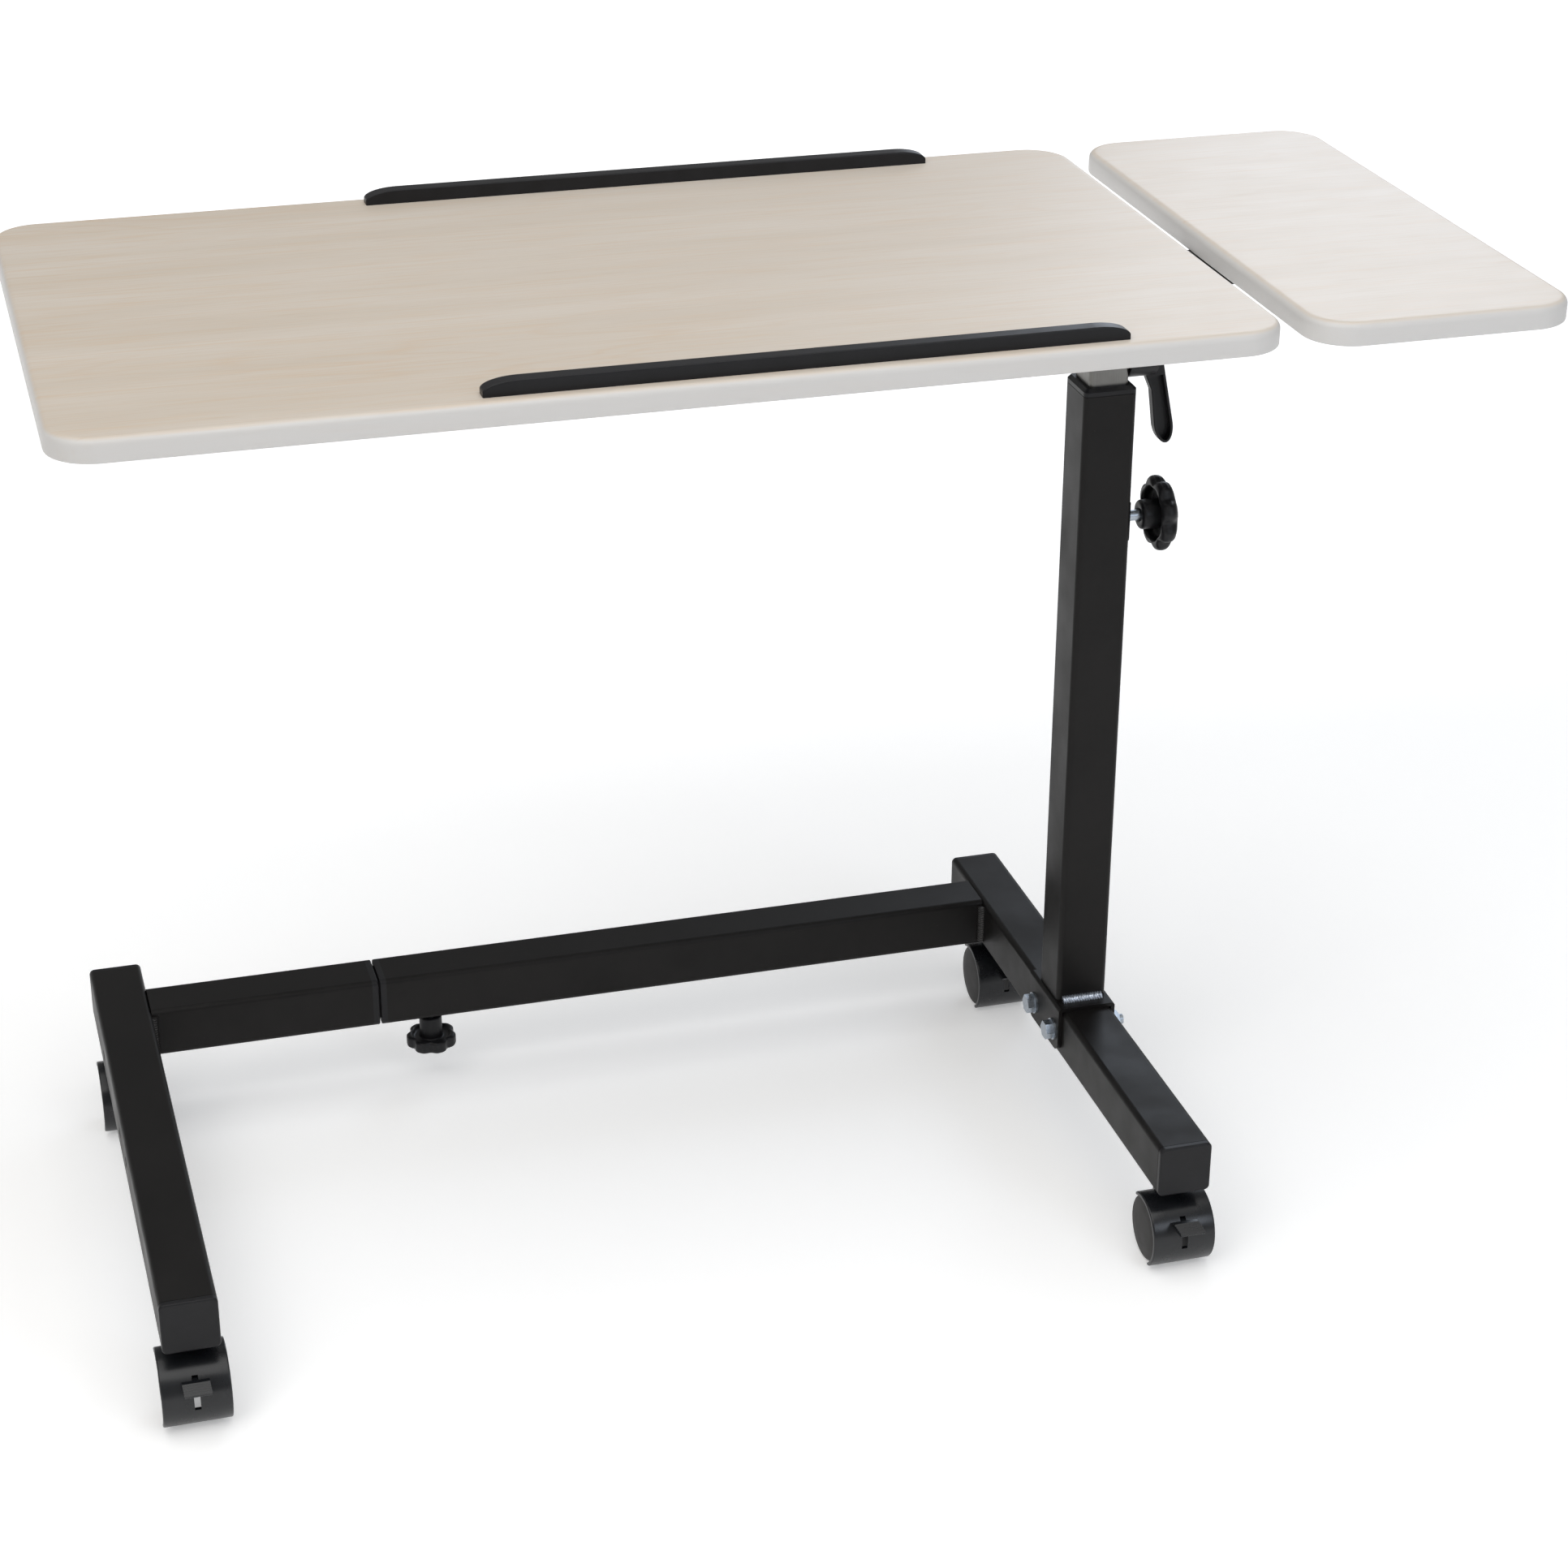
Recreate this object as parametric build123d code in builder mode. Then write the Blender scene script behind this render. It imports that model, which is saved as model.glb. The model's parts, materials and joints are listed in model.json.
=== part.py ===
from build123d import *
import math
import os

os.makedirs("parts", exist_ok=True)

# Overbed table with a tilting main top, a fixed side top, a telescopic mast and a base
# that widens.  Millimetres, +Z up, +X from the main top towards the side top, +Y to the
# back.  The origin is on the floor under the middle of the table's bounding box.

# ------------------------------------------------------------------ driving dimensions
# Tops
main_top_length = 800.0
side_top_length = 190.0
top_gap = 18.0
top_depth = 455.0
top_thickness = 16.0
top_corner = 32.0
top_edge_radius = 5.0
table_height = 715.0

# Ledges on the main top
ledge_length = 424.0
ledge_height = 10.0
ledge_width = 11.0
ledge_ramp = 24.0
ledge_nose = 3.0
ledge_start = 265.0
ledge_margin = 10.0

# Black square tube of the frame
frame_tube = 40.0
frame_wall = 2.0
frame_corner = 4.0
leg_length = 466.0
left_leg_inset = 38.0
mast_inset = 43.0
crossbar_setback = 55.5
cap_thickness = 5.0
cap_spigot = 14.0
cap_spigot_wall = 2.0
cap_edge = 1.5
cap_seam = 0.4

# Telescopic crossbar
bar_tube = 32.0
bar_wall = 2.0
bar_corner = 3.0
bar_engagement = 330.0
stub_reach = 192.0
bush_flange = 5.0
bush_sleeve = 25.0
bush_gap = 1.2
bush_edge = 1.2
clamp_setback = 37.0

# Mast
column_tube = 30.0
column_wall = 2.0
column_corner = 3.0
column_lift = 12.0
collar_flange = 6.0
collar_bevel = 2.5
collar_sleeve = 40.0
glide_height = 8.0
glide_spigot = 18.0
knob_drop = 102.0

# Saddle that carries the mast on the leg
saddle_length = 65.0
saddle_thickness = 3.0
saddle_skirt = 35.0
saddle_corner = 8.0
saddle_bolt_pitch = 42.0
spare_hole_setback = 97.0
bolt_hole_radius = 4.25

# M8 hardware
m8_radius = 4.0
m8_hex = 13.0
m8_head = 6.0
m8_flange_radius = 8.5
m8_flange = 1.5
weld_leg = 4.5

# Tilt pivot
pivot_drop = 70.0
pivot_radius = 5.0
pivot_head_radius = 10.0
pivot_head = 5.0
cheek_thickness = 6.0
cheek_width = 70.0
cheek_nose = 12.0
pivot_spacer_length = 7.0
pivot_spacer_radius = 10.0
hub_radius = 20.0
stop_gap = 1.0

# Tilt lever
lever_hub_length = 21.0
lever_lip = 7.0
lever_reach = 58.0
lever_root_width = 12.4
lever_tip_width = 14.5
lever_tip_length = 15.0
lever_flare = 4.0
lever_depth = 9.0
lever_lean = 11.7
lever_rim = 2.0
lever_recess = 6.0
insert_radius = 7.5
insert_length = 15.0

# Steel under the tops
spine_width = 40.0
spine_height = 20.0
spine_wall = 1.5
spine_left_inset = 150.0
strap_width = 40.0
strap_length = 320.0
strap_thickness = 4.0
arm_width = 30.0
arm_height = 20.0
arm_wall = 2.0
side_plate_length = 130.0
side_plate_depth = 320.0
side_screw_pitch = 90.0
screw_row = 280.0
screw_radius = 2.45
screw_bite = 11.0
screw_head_radius = 5.0
screw_head = 2.5

# Star knobs
height_knob_radius = 28.5
height_knob_rim = 11.5
height_knob_hub = 11.0
height_knob_standoff = 14.0
height_knob_hub_step = 9.5
height_knob_dome = 4.0
base_knob_radius = 20.0
base_knob_rim = 11.0
base_knob_hub = 9.0
base_knob_neck = 16.0
knob_lobes = 8
boss_width = 26.0
boss_height = 34.0
boss_thickness = 3.3
boss_chamfer = 2.5

# Twin-wheel casters
caster_height = 64.0
caster_trail = 22.0
stem_setback = 37.0
wheel_radius = 25.0
wheel_inner = 6.7
wheel_outer = 21.7
wheel_edge = 2.5
wheel_cover = 1.0
wheel_cover_radius = 17.5
hood_radius = 28.0
hood_wall = 2.6
hood_half_width = 24.0
hood_back_angle = 62.0
hood_front_angle = 232.0
hood_edge = 1.2
hood_end_edge = 2.2
boss_radius = 6.0
stem_pin_radius = 4.0
stem_flange_radius = 9.0
stem_flange = 2.8
stem_thread_radius = 5.0
stem_thread = 24.0
axle_radius = 3.0
axle_half_length = 19.0
brake_slot = 4.4
brake_slot_start = 136.0
brake_slot_sweep = 52.0
brake_pad_width = 19.0
brake_pad_reach = 42.0
brake_pad_level = 17.0
brake_pad_thickness = 3.2
brake_pad_ribs = 5
brake_rib_depth = 0.8
brake_neck_start = 142.0
brake_neck_sweep = 16.0

# Clearances
running = 0.05
seat = 0.1
slide = 0.15
gap = 0.3

# ------------------------------------------------------------------ places worked out
overall_length = main_top_length + top_gap + side_top_length
main_left = -overall_length / 2
main_right = main_left + main_top_length
main_x = (main_left + main_right) / 2
side_left = main_right + top_gap
side_x = side_left + side_top_length / 2
mast_x = main_right - mast_inset
left_leg_x = main_left + left_leg_inset

# The front casters reach past the legs, so the table's middle lies behind the origin.
stem_y = leg_length / 2 - stem_setback
caster_reach = stem_y + caster_trail + brake_pad_reach
table_y = (caster_reach - max(leg_length / 2 + cap_thickness, top_depth / 2)) / 2

leg_z = caster_height + frame_tube / 2
leg_top = caster_height + frame_tube
mast_base = leg_top + saddle_thickness
underside = table_height - top_thickness
pivot_z = underside - pivot_drop
collar_top = pivot_z - hub_radius - stop_gap
mast_top = collar_top - collar_flange
knob_z = mast_top - knob_drop
column_bottom = mast_base + column_lift
arm_top = underside - strap_thickness
arm_bottom = arm_top - arm_height
column_top = arm_bottom

leg_front = table_y - leg_length / 2
leg_back = table_y + leg_length / 2
bar_y = leg_back - crossbar_setback
stub_end = left_leg_x + stub_reach
bar_mouth = stub_end + 2 * bush_flange + bush_gap
bar_end = bar_mouth + bar_engagement
clamp_x = bar_mouth + clamp_setback

frame_bore = frame_tube - 2 * frame_wall
bar_bore = bar_tube - 2 * bar_wall
column_bore = column_tube - 2 * column_wall
tube_face = mast_x + frame_tube / 2
column_left = mast_x - column_tube / 2
column_right = mast_x + column_tube / 2
cheek_right = column_left - pivot_spacer_length - gap
cheek_left = cheek_right - cheek_thickness
lever_left = column_right + gap

spine_left = main_left + spine_left_inset
strap_places = [
    spine_left + strap_width,
    (spine_left + cheek_left) / 2,
    cheek_left - strap_width,
]


# ------------------------------------------------------------------ shared profiles
def tube_profile(width, height, corner, wall):
    """Square or rectangular tube section, drawn in the open sketch."""
    RectangleRounded(width, height, corner)
    RectangleRounded(width - 2 * wall, height - 2 * wall, corner - wall, mode=Mode.SUBTRACT)


def star_profile(radius, lobes):
    """Round knob outline with a shallow scallop between the lobes."""
    Circle(radius)
    with PolarLocations(radius * 1.12, lobes):
        Circle(radius * 0.19, mode=Mode.SUBTRACT)


def finish(part, name):
    """Name a finished piece and write it out."""
    part.label = name
    export_step(part, f"parts/{name}.step")


def along_x(x, y, z):
    """Plane across +X, with its own x along +Y and its own y along +Z."""
    return Plane(origin=(x, y, z), x_dir=(0, 1, 0), z_dir=(1, 0, 0))


def along_y(x, y, z):
    """Plane across +Y, with its own x along -X and its own y along +Z."""
    return Plane(origin=(x, y, z), x_dir=(-1, 0, 0), z_dir=(0, 1, 0))


def level(x, y, z):
    """Horizontal plane at a point."""
    return Plane(origin=(x, y, z))


# ------------------------------------------------------------------ legs
def stem_discs(x, z, radius):
    """Two discs on the caster stems of the leg at x."""
    with BuildSketch(level(x, table_y, z)) as discs:
        with GridLocations(0, 2 * stem_y, 1, 2):
            Circle(radius)
    return discs.sketch


def saddle_discs(x, radius):
    """Two discs on the saddle bolts, across the leg's middle."""
    with BuildSketch(along_x(x, table_y, leg_z)) as discs:
        with GridLocations(saddle_bolt_pitch, 0, 2, 1):
            Circle(radius)
    return discs.sketch


def saddle_hexes(x):
    """Two hexagons on the saddle bolts."""
    with BuildSketch(along_x(x, table_y, leg_z)) as hexes:
        with GridLocations(saddle_bolt_pitch, 0, 2, 1):
            RegularPolygon(m8_hex / 2, 6, major_radius=False)
    return hexes.sketch


with BuildPart() as right_leg:
    with BuildSketch(along_y(mast_x, leg_front, leg_z)):
        tube_profile(frame_tube, frame_tube, frame_corner, frame_wall)
    extrude(amount=leg_length)
    stem_holes = stem_discs(mast_x, caster_height, stem_thread_radius + seat)
    extrude(stem_holes, amount=frame_wall, mode=Mode.SUBTRACT)
    bolt_holes = saddle_discs(mast_x - frame_tube / 2, bolt_hole_radius)
    extrude(bolt_holes, amount=frame_tube, mode=Mode.SUBTRACT)
finish(right_leg.part, "right_leg_tube")

with BuildPart() as left_leg:
    with BuildSketch(along_y(left_leg_x, leg_front, leg_z)):
        tube_profile(frame_tube, frame_tube, frame_corner, frame_wall)
    extrude(amount=leg_length)
    stem_holes = stem_discs(left_leg_x, caster_height, stem_thread_radius + seat)
    extrude(stem_holes, amount=frame_wall, mode=Mode.SUBTRACT)
    bolt_holes = saddle_discs(left_leg_x - frame_tube / 2, bolt_hole_radius)
    extrude(bolt_holes, amount=frame_tube, mode=Mode.SUBTRACT)
    with BuildSketch(along_x(left_leg_x - frame_tube / 2, leg_back - spare_hole_setback, leg_z)):
        Circle(bolt_hole_radius)
    extrude(amount=frame_wall, mode=Mode.SUBTRACT)
finish(left_leg.part, "left_leg_tube")

# One end cap, made at the front of a leg that stands on x = 0 and mirrored to the back.
with BuildPart() as front_cap:
    with BuildSketch(along_y(0, leg_front - cap_thickness, leg_z)):
        RectangleRounded(frame_tube, frame_tube, frame_corner)
    extrude(amount=cap_thickness)
    fillet(front_cap.faces().sort_by(Axis.Y)[0].edges(), cap_edge)
    chamfer(front_cap.faces().sort_by(Axis.Y)[-1].edges(), cap_seam)
    with BuildSketch(along_y(0, leg_front, leg_z)):
        tube_profile(frame_bore - 2 * seat, frame_bore - 2 * seat, frame_corner, cap_spigot_wall)
    extrude(amount=cap_spigot)

for side, leg_x in (("right", mast_x), ("left", left_leg_x)):
    with BuildPart() as leg_caps:
        with Locations((leg_x, 0, 0)):
            add(front_cap.part)
        mirror(about=Plane.XZ.offset(-table_y))
    finish(leg_caps.part, f"{side}_leg_caps")

# ------------------------------------------------------------------ telescopic crossbar
with BuildPart() as crossbar_outer:
    with BuildSketch(along_x(bar_mouth, bar_y, leg_z)):
        tube_profile(frame_tube, frame_tube, frame_corner, frame_wall)
    extrude(amount=mast_x - frame_tube / 2 - bar_mouth)
    with BuildSketch(level(clamp_x, bar_y, caster_height)):
        Circle(m8_radius + gap)
    extrude(amount=frame_wall, mode=Mode.SUBTRACT)
finish(crossbar_outer.part, "crossbar_outer_tube")

with BuildPart() as crossbar_stub:
    with BuildSketch(along_x(left_leg_x + frame_tube / 2, bar_y, leg_z)):
        tube_profile(frame_tube, frame_tube, frame_corner, frame_wall)
    extrude(amount=stub_reach - frame_tube / 2)
finish(crossbar_stub.part, "crossbar_stub_tube")

with BuildPart() as crossbar_inner:
    with BuildSketch(along_x(left_leg_x + frame_tube / 2, bar_y, leg_z)):
        tube_profile(bar_tube, bar_tube, bar_corner, bar_wall)
    extrude(amount=bar_end - left_leg_x - frame_tube / 2)
finish(crossbar_inner.part, "crossbar_inner_tube")

# Each bush is a plastic ring on the tube's mouth with a sleeve that guides the inner bar.
for side, mouth_x, inward in (("right", bar_mouth, 1), ("left", stub_end, -1)):
    with BuildPart() as bush:
        with BuildSketch(along_x(mouth_x, bar_y, leg_z)):
            RectangleRounded(frame_tube, frame_tube, frame_corner)
        extrude(amount=-inward * bush_flange)
        fillet(bush.faces().sort_by(Axis.X)[(inward - 1) // 2].edges(), bush_edge)
        with BuildSketch(along_x(mouth_x, bar_y, leg_z)):
            RectangleRounded(frame_bore - 2 * seat, frame_bore - 2 * seat, frame_corner - frame_wall)
        extrude(amount=inward * bush_sleeve)
        with BuildSketch(along_x(mouth_x - inward * bush_flange, bar_y, leg_z)):
            RectangleRounded(bar_tube + 2 * slide, bar_tube + 2 * slide, bar_corner)
        extrude(amount=inward * (bush_flange + bush_sleeve), mode=Mode.SUBTRACT)
    finish(bush.part, f"crossbar_bush_{side}")

with BuildPart() as bar_glide:
    with BuildSketch(along_x(bar_end, bar_y, leg_z)):
        RectangleRounded(frame_bore - 2 * slide, frame_bore - 2 * slide, frame_corner - frame_wall)
    extrude(amount=cap_spigot)
    with BuildSketch(along_x(bar_end, bar_y, leg_z)):
        RectangleRounded(bar_bore - 2 * seat, bar_bore - 2 * seat, bar_corner - bar_wall)
    extrude(amount=-cap_spigot)
finish(bar_glide.part, "crossbar_inner_glide")

# Weld nut under the outer tube for the base clamp screw.
nut_bottom = caster_height - m8_head
with BuildPart() as clamp_nut:
    with BuildSketch(level(clamp_x, bar_y, nut_bottom)):
        RegularPolygon(m8_hex / 2, 6, major_radius=False)
        Circle(m8_radius + running, mode=Mode.SUBTRACT)
    extrude(amount=m8_head)
finish(clamp_nut.part, "base_clamp_nut")

# ------------------------------------------------------------------ saddle and mast
saddle_width = frame_tube + 2 * (saddle_thickness + seat)
skirt_bottom = leg_top - saddle_skirt
with BuildPart() as saddle:
    with BuildSketch(along_y(mast_x, table_y - saddle_length / 2, mast_base)):
        with BuildLine():
            Polyline(
                (-saddle_width / 2, 0),
                (saddle_width / 2, 0),
                (saddle_width / 2, skirt_bottom - mast_base),
                (saddle_width / 2 - saddle_thickness, skirt_bottom - mast_base),
                (saddle_width / 2 - saddle_thickness, -saddle_thickness),
                (saddle_thickness - saddle_width / 2, -saddle_thickness),
                (saddle_thickness - saddle_width / 2, skirt_bottom - mast_base),
                (-saddle_width / 2, skirt_bottom - mast_base),
                close=True,
            )
        make_face()
    extrude(amount=saddle_length)
    fillet(saddle.edges().filter_by(Axis.Y).group_by(Axis.Z)[-1], saddle_thickness - gap)
    fillet(saddle.edges().filter_by(Axis.X).group_by(Axis.Z)[0], saddle_corner)
    bolt_holes = saddle_discs(mast_x - saddle_width / 2, bolt_hole_radius)
    extrude(bolt_holes, amount=saddle_width, mode=Mode.SUBTRACT)
finish(saddle.part, "mast_saddle_bracket")

# Hex flange bolts run through saddle and leg along +X, with flange nuts on the far side.
bolt_left = mast_x - saddle_width / 2
nut_left = mast_x + saddle_width / 2
with BuildPart() as saddle_bolts:
    extrude(saddle_hexes(bolt_left - m8_flange - m8_head), amount=m8_head)
    extrude(saddle_discs(bolt_left - m8_flange, m8_flange_radius), amount=m8_flange)
    extrude(saddle_discs(bolt_left, m8_radius), amount=saddle_width + m8_flange + m8_head + m8_radius)
finish(saddle_bolts.part, "saddle_bolts")

with BuildPart() as saddle_nuts:
    extrude(saddle_discs(nut_left, m8_flange_radius), amount=m8_flange)
    extrude(saddle_hexes(nut_left + m8_flange), amount=m8_head)
    extrude(saddle_discs(nut_left, m8_radius + running), amount=m8_flange + m8_head, mode=Mode.SUBTRACT)
finish(saddle_nuts.part, "saddle_nuts")

with BuildPart() as mast_outer:
    with BuildSketch(level(mast_x, table_y, mast_base)):
        tube_profile(frame_tube, frame_tube, frame_corner, frame_wall)
    extrude(amount=mast_top - mast_base)
    with BuildSketch(along_x(tube_face - frame_wall, table_y, knob_z)):
        Circle(m8_radius + gap)
    extrude(amount=frame_wall, mode=Mode.SUBTRACT)
finish(mast_outer.part, "mast_outer_tube")

with BuildPart() as collar:
    with BuildSketch(level(mast_x, table_y, mast_top)):
        RectangleRounded(frame_tube, frame_tube, frame_corner)
    extrude(amount=collar_flange)
    chamfer(collar.faces().sort_by(Axis.Z)[-1].edges(), collar_bevel)
    chamfer(collar.faces().sort_by(Axis.Z)[0].edges(), cap_seam)
    with BuildSketch(level(mast_x, table_y, mast_top)):
        RectangleRounded(frame_bore - 2 * seat, frame_bore - 2 * seat, frame_corner - frame_wall)
    extrude(amount=-collar_sleeve)
    with BuildSketch(level(mast_x, table_y, mast_top - collar_sleeve)):
        RectangleRounded(column_tube + 2 * slide, column_tube + 2 * slide, column_corner)
    extrude(amount=collar_sleeve + collar_flange, mode=Mode.SUBTRACT)
finish(collar.part, "mast_collar")

with BuildPart() as boss:
    with BuildSketch(along_x(tube_face, table_y, knob_z)):
        RectangleRounded(boss_width, boss_height, boss_chamfer)
    extrude(amount=boss_thickness)
    chamfer(boss.faces().sort_by(Axis.X)[-1].edges(), boss_chamfer)
    with BuildSketch(along_x(tube_face, table_y, knob_z)):
        Circle(m8_radius + running)
    extrude(amount=boss_thickness, mode=Mode.SUBTRACT)
finish(boss.part, "mast_clamp_boss")


# Fillet welds at the mast's foot and where the crossbar meets each leg.
half_tube = frame_tube / 2
bead_length = frame_tube - 2 * frame_corner
half_bead = bead_length / 2
right_joint = mast_x - half_tube
left_joint = left_leg_x + half_tube


def bead(corner, leg_direction, run_direction):
    """Quarter-round bead: sketched in the corner it fills, run along the joint."""
    with BuildPart() as run:
        with BuildSketch(Plane(origin=corner, x_dir=leg_direction, z_dir=run_direction)):
            Circle(weld_leg)
            Rectangle(weld_leg, weld_leg, align=(Align.MIN, Align.MIN), mode=Mode.INTERSECT)
        extrude(amount=bead_length)
    return run.part


with BuildPart() as right_welds:
    add(bead((mast_x + half_bead, table_y - half_tube, mast_base), (0, -1, 0), (-1, 0, 0)))
    add(bead((mast_x - half_bead, table_y + half_tube, mast_base), (0, 1, 0), (1, 0, 0)))
    add(bead((right_joint, bar_y - half_tube, leg_z - half_bead), (-1, 0, 0), (0, 0, 1)))
    add(bead((right_joint, bar_y + half_tube, leg_z + half_bead), (-1, 0, 0), (0, 0, -1)))
finish(right_welds.part, "right_frame_welds")

with BuildPart() as left_welds:
    add(bead((left_joint, bar_y - half_tube, leg_z + half_bead), (1, 0, 0), (0, 0, -1)))
    add(bead((left_joint, bar_y + half_tube, leg_z - half_bead), (1, 0, 0), (0, 0, 1)))
finish(left_welds.part, "left_frame_welds")

# ------------------------------------------------------------------ column
with BuildPart() as column:
    with BuildSketch(level(mast_x, table_y, column_bottom)):
        tube_profile(column_tube, column_tube, column_corner, column_wall)
    extrude(amount=column_top - column_bottom)
    with BuildSketch(along_x(column_left, table_y, pivot_z)):
        Circle(pivot_radius + seat)
    extrude(amount=column_tube, mode=Mode.SUBTRACT)
finish(column.part, "mast_inner_tube")

with BuildPart() as column_glide:
    with BuildSketch(level(mast_x, table_y, column_bottom)):
        RectangleRounded(frame_bore - 2 * slide, frame_bore - 2 * slide, frame_corner - frame_wall)
    extrude(amount=-glide_height)
    with BuildSketch(level(mast_x, table_y, column_bottom)):
        RectangleRounded(column_bore - 2 * seat, column_bore - 2 * seat, column_corner - column_wall)
    extrude(amount=glide_spigot)
finish(column_glide.part, "mast_inner_glide")

# The side arm lies across the column's top and carries the side top on a plate.
arm_z = arm_bottom + arm_height / 2
arm_right = side_x + side_plate_length / 2
with BuildPart() as side_arm:
    with BuildSketch(along_x(column_left, table_y, arm_z)):
        tube_profile(arm_width, arm_height, column_corner, arm_wall)
    extrude(amount=arm_right - column_left)
finish(side_arm.part, "side_arm_tube")

with BuildPart() as arm_caps:
    with BuildSketch(along_x(arm_right, table_y, arm_z)):
        RectangleRounded(arm_width, arm_height, column_corner)
    extrude(amount=cap_thickness)
    with BuildSketch(along_x(arm_right, table_y, arm_z)):
        bore_width = arm_width - 2 * arm_wall - 2 * seat
        bore_height = arm_height - 2 * arm_wall - 2 * seat
        RectangleRounded(bore_width, bore_height, column_corner - arm_wall)
    extrude(amount=-cap_spigot)
finish(arm_caps.part, "side_arm_cap")

with BuildPart() as side_plate:
    with BuildSketch(level(side_x, table_y, arm_top)):
        RectangleRounded(side_plate_length, side_plate_depth, saddle_corner)
        with GridLocations(side_screw_pitch, screw_row, 2, 2):
            Circle(screw_radius + seat, mode=Mode.SUBTRACT)
    extrude(amount=strap_thickness)
finish(side_plate.part, "side_top_plate")


def panel_profile(length):
    """Table board outline with rounded corners."""
    RectangleRounded(length, top_depth, top_corner)


with BuildPart() as side_top:
    with BuildSketch(level(side_x, table_y, underside)):
        panel_profile(side_top_length)
    extrude(amount=top_thickness)
    fillet(side_top.faces().sort_by(Axis.Z)[-1].edges(), top_edge_radius)
    fillet(side_top.faces().sort_by(Axis.Z)[0].edges(), weld_leg / 3)
    with BuildSketch(level(side_x, table_y, underside)):
        with GridLocations(side_screw_pitch, screw_row, 2, 2):
            Circle(screw_radius)
    extrude(amount=screw_bite, mode=Mode.SUBTRACT)
finish(side_top.part, "side_top_panel")

with BuildPart() as side_screws:
    with BuildSketch(level(side_x, table_y, arm_top - screw_head)):
        with GridLocations(side_screw_pitch, screw_row, 2, 2):
            Circle(screw_head_radius)
    extrude(amount=screw_head)
    with BuildSketch(level(side_x, table_y, arm_top)):
        with GridLocations(side_screw_pitch, screw_row, 2, 2):
            Circle(screw_radius)
    extrude(amount=strap_thickness + screw_bite)
finish(side_screws.part, "side_top_screws")

# ------------------------------------------------------------------ tilt pivot
bolt_end = lever_left + lever_hub_length - lever_rim
with BuildPart() as pivot_bolt:
    with BuildSketch(along_x(cheek_left - gap - pivot_head, table_y, pivot_z)):
        Circle(pivot_head_radius)
    extrude(amount=pivot_head)
    fillet(pivot_bolt.faces().sort_by(Axis.X)[0].edges(), pivot_head / 2)
    with BuildSketch(along_x(cheek_left - gap, table_y, pivot_z)):
        Circle(pivot_radius)
    extrude(amount=bolt_end - cheek_left + gap)
finish(pivot_bolt.part, "tilt_pivot_bolt")

with BuildPart() as pivot_spacer:
    with BuildSketch(along_x(column_left - pivot_spacer_length, table_y, pivot_z)):
        Circle(pivot_spacer_radius)
        Circle(pivot_radius + running, mode=Mode.SUBTRACT)
    extrude(amount=pivot_spacer_length)
finish(pivot_spacer.part, "tilt_friction_spacer")

with BuildPart() as cheek:
    with BuildSketch(along_x(cheek_left, table_y, pivot_z)):
        with BuildLine():
            nose = CenterArc((0, 0), cheek_nose, 180, 180)
            rise = pivot_drop - strap_thickness
            Polyline(nose @ 1, (cheek_width / 2, rise), (-cheek_width / 2, rise), nose @ 0)
        make_face()
        Circle(pivot_radius + running, mode=Mode.SUBTRACT)
    extrude(amount=cheek_thickness)
finish(cheek.part, "tilt_cheek")

# ------------------------------------------------------------------ steel under the main top
spine_z = arm_top - spine_height / 2
with BuildPart() as spine:
    with BuildSketch(along_x(spine_left, table_y, spine_z)):
        tube_profile(spine_width, spine_height, column_corner, spine_wall)
    extrude(amount=cheek_left - spine_left)
finish(spine.part, "top_spine_tube")

with BuildPart() as spine_cap:
    with BuildSketch(along_x(spine_left, table_y, spine_z)):
        RectangleRounded(spine_width, spine_height, column_corner)
    extrude(amount=-cap_thickness)
    with BuildSketch(along_x(spine_left, table_y, spine_z)):
        bore_width = spine_width - 2 * spine_wall - 2 * seat
        bore_height = spine_height - 2 * spine_wall - 2 * seat
        RectangleRounded(bore_width, bore_height, column_corner - spine_wall)
    extrude(amount=cap_spigot)
finish(spine_cap.part, "top_spine_cap")

with BuildPart() as straps:
    for strap_x in strap_places:
        with BuildSketch(level(strap_x, table_y, arm_top)):
            RectangleRounded(strap_width, strap_length, saddle_corner)
            with GridLocations(0, screw_row, 1, 2):
                Circle(screw_radius + seat, mode=Mode.SUBTRACT)
        extrude(amount=strap_thickness)
finish(straps.part, "top_straps")

with BuildPart() as main_top:
    with BuildSketch(level(main_x, table_y, underside)):
        panel_profile(main_top_length)
    extrude(amount=top_thickness)
    fillet(main_top.faces().sort_by(Axis.Z)[-1].edges(), top_edge_radius)
    fillet(main_top.faces().sort_by(Axis.Z)[0].edges(), weld_leg / 3)
    for strap_x in strap_places:
        with BuildSketch(level(strap_x, table_y, underside)):
            with GridLocations(0, screw_row, 1, 2):
                Circle(screw_radius)
        extrude(amount=screw_bite, mode=Mode.SUBTRACT)
finish(main_top.part, "main_top_panel")

with BuildPart() as top_screws:
    for strap_x in strap_places:
        with BuildSketch(level(strap_x, table_y, arm_top - screw_head)):
            with GridLocations(0, screw_row, 1, 2):
                Circle(screw_head_radius)
        extrude(amount=screw_head)
        with BuildSketch(level(strap_x, table_y, arm_top)):
            with GridLocations(0, screw_row, 1, 2):
                Circle(screw_radius)
        extrude(amount=strap_thickness + screw_bite)
finish(top_screws.part, "main_top_screws")

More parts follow.
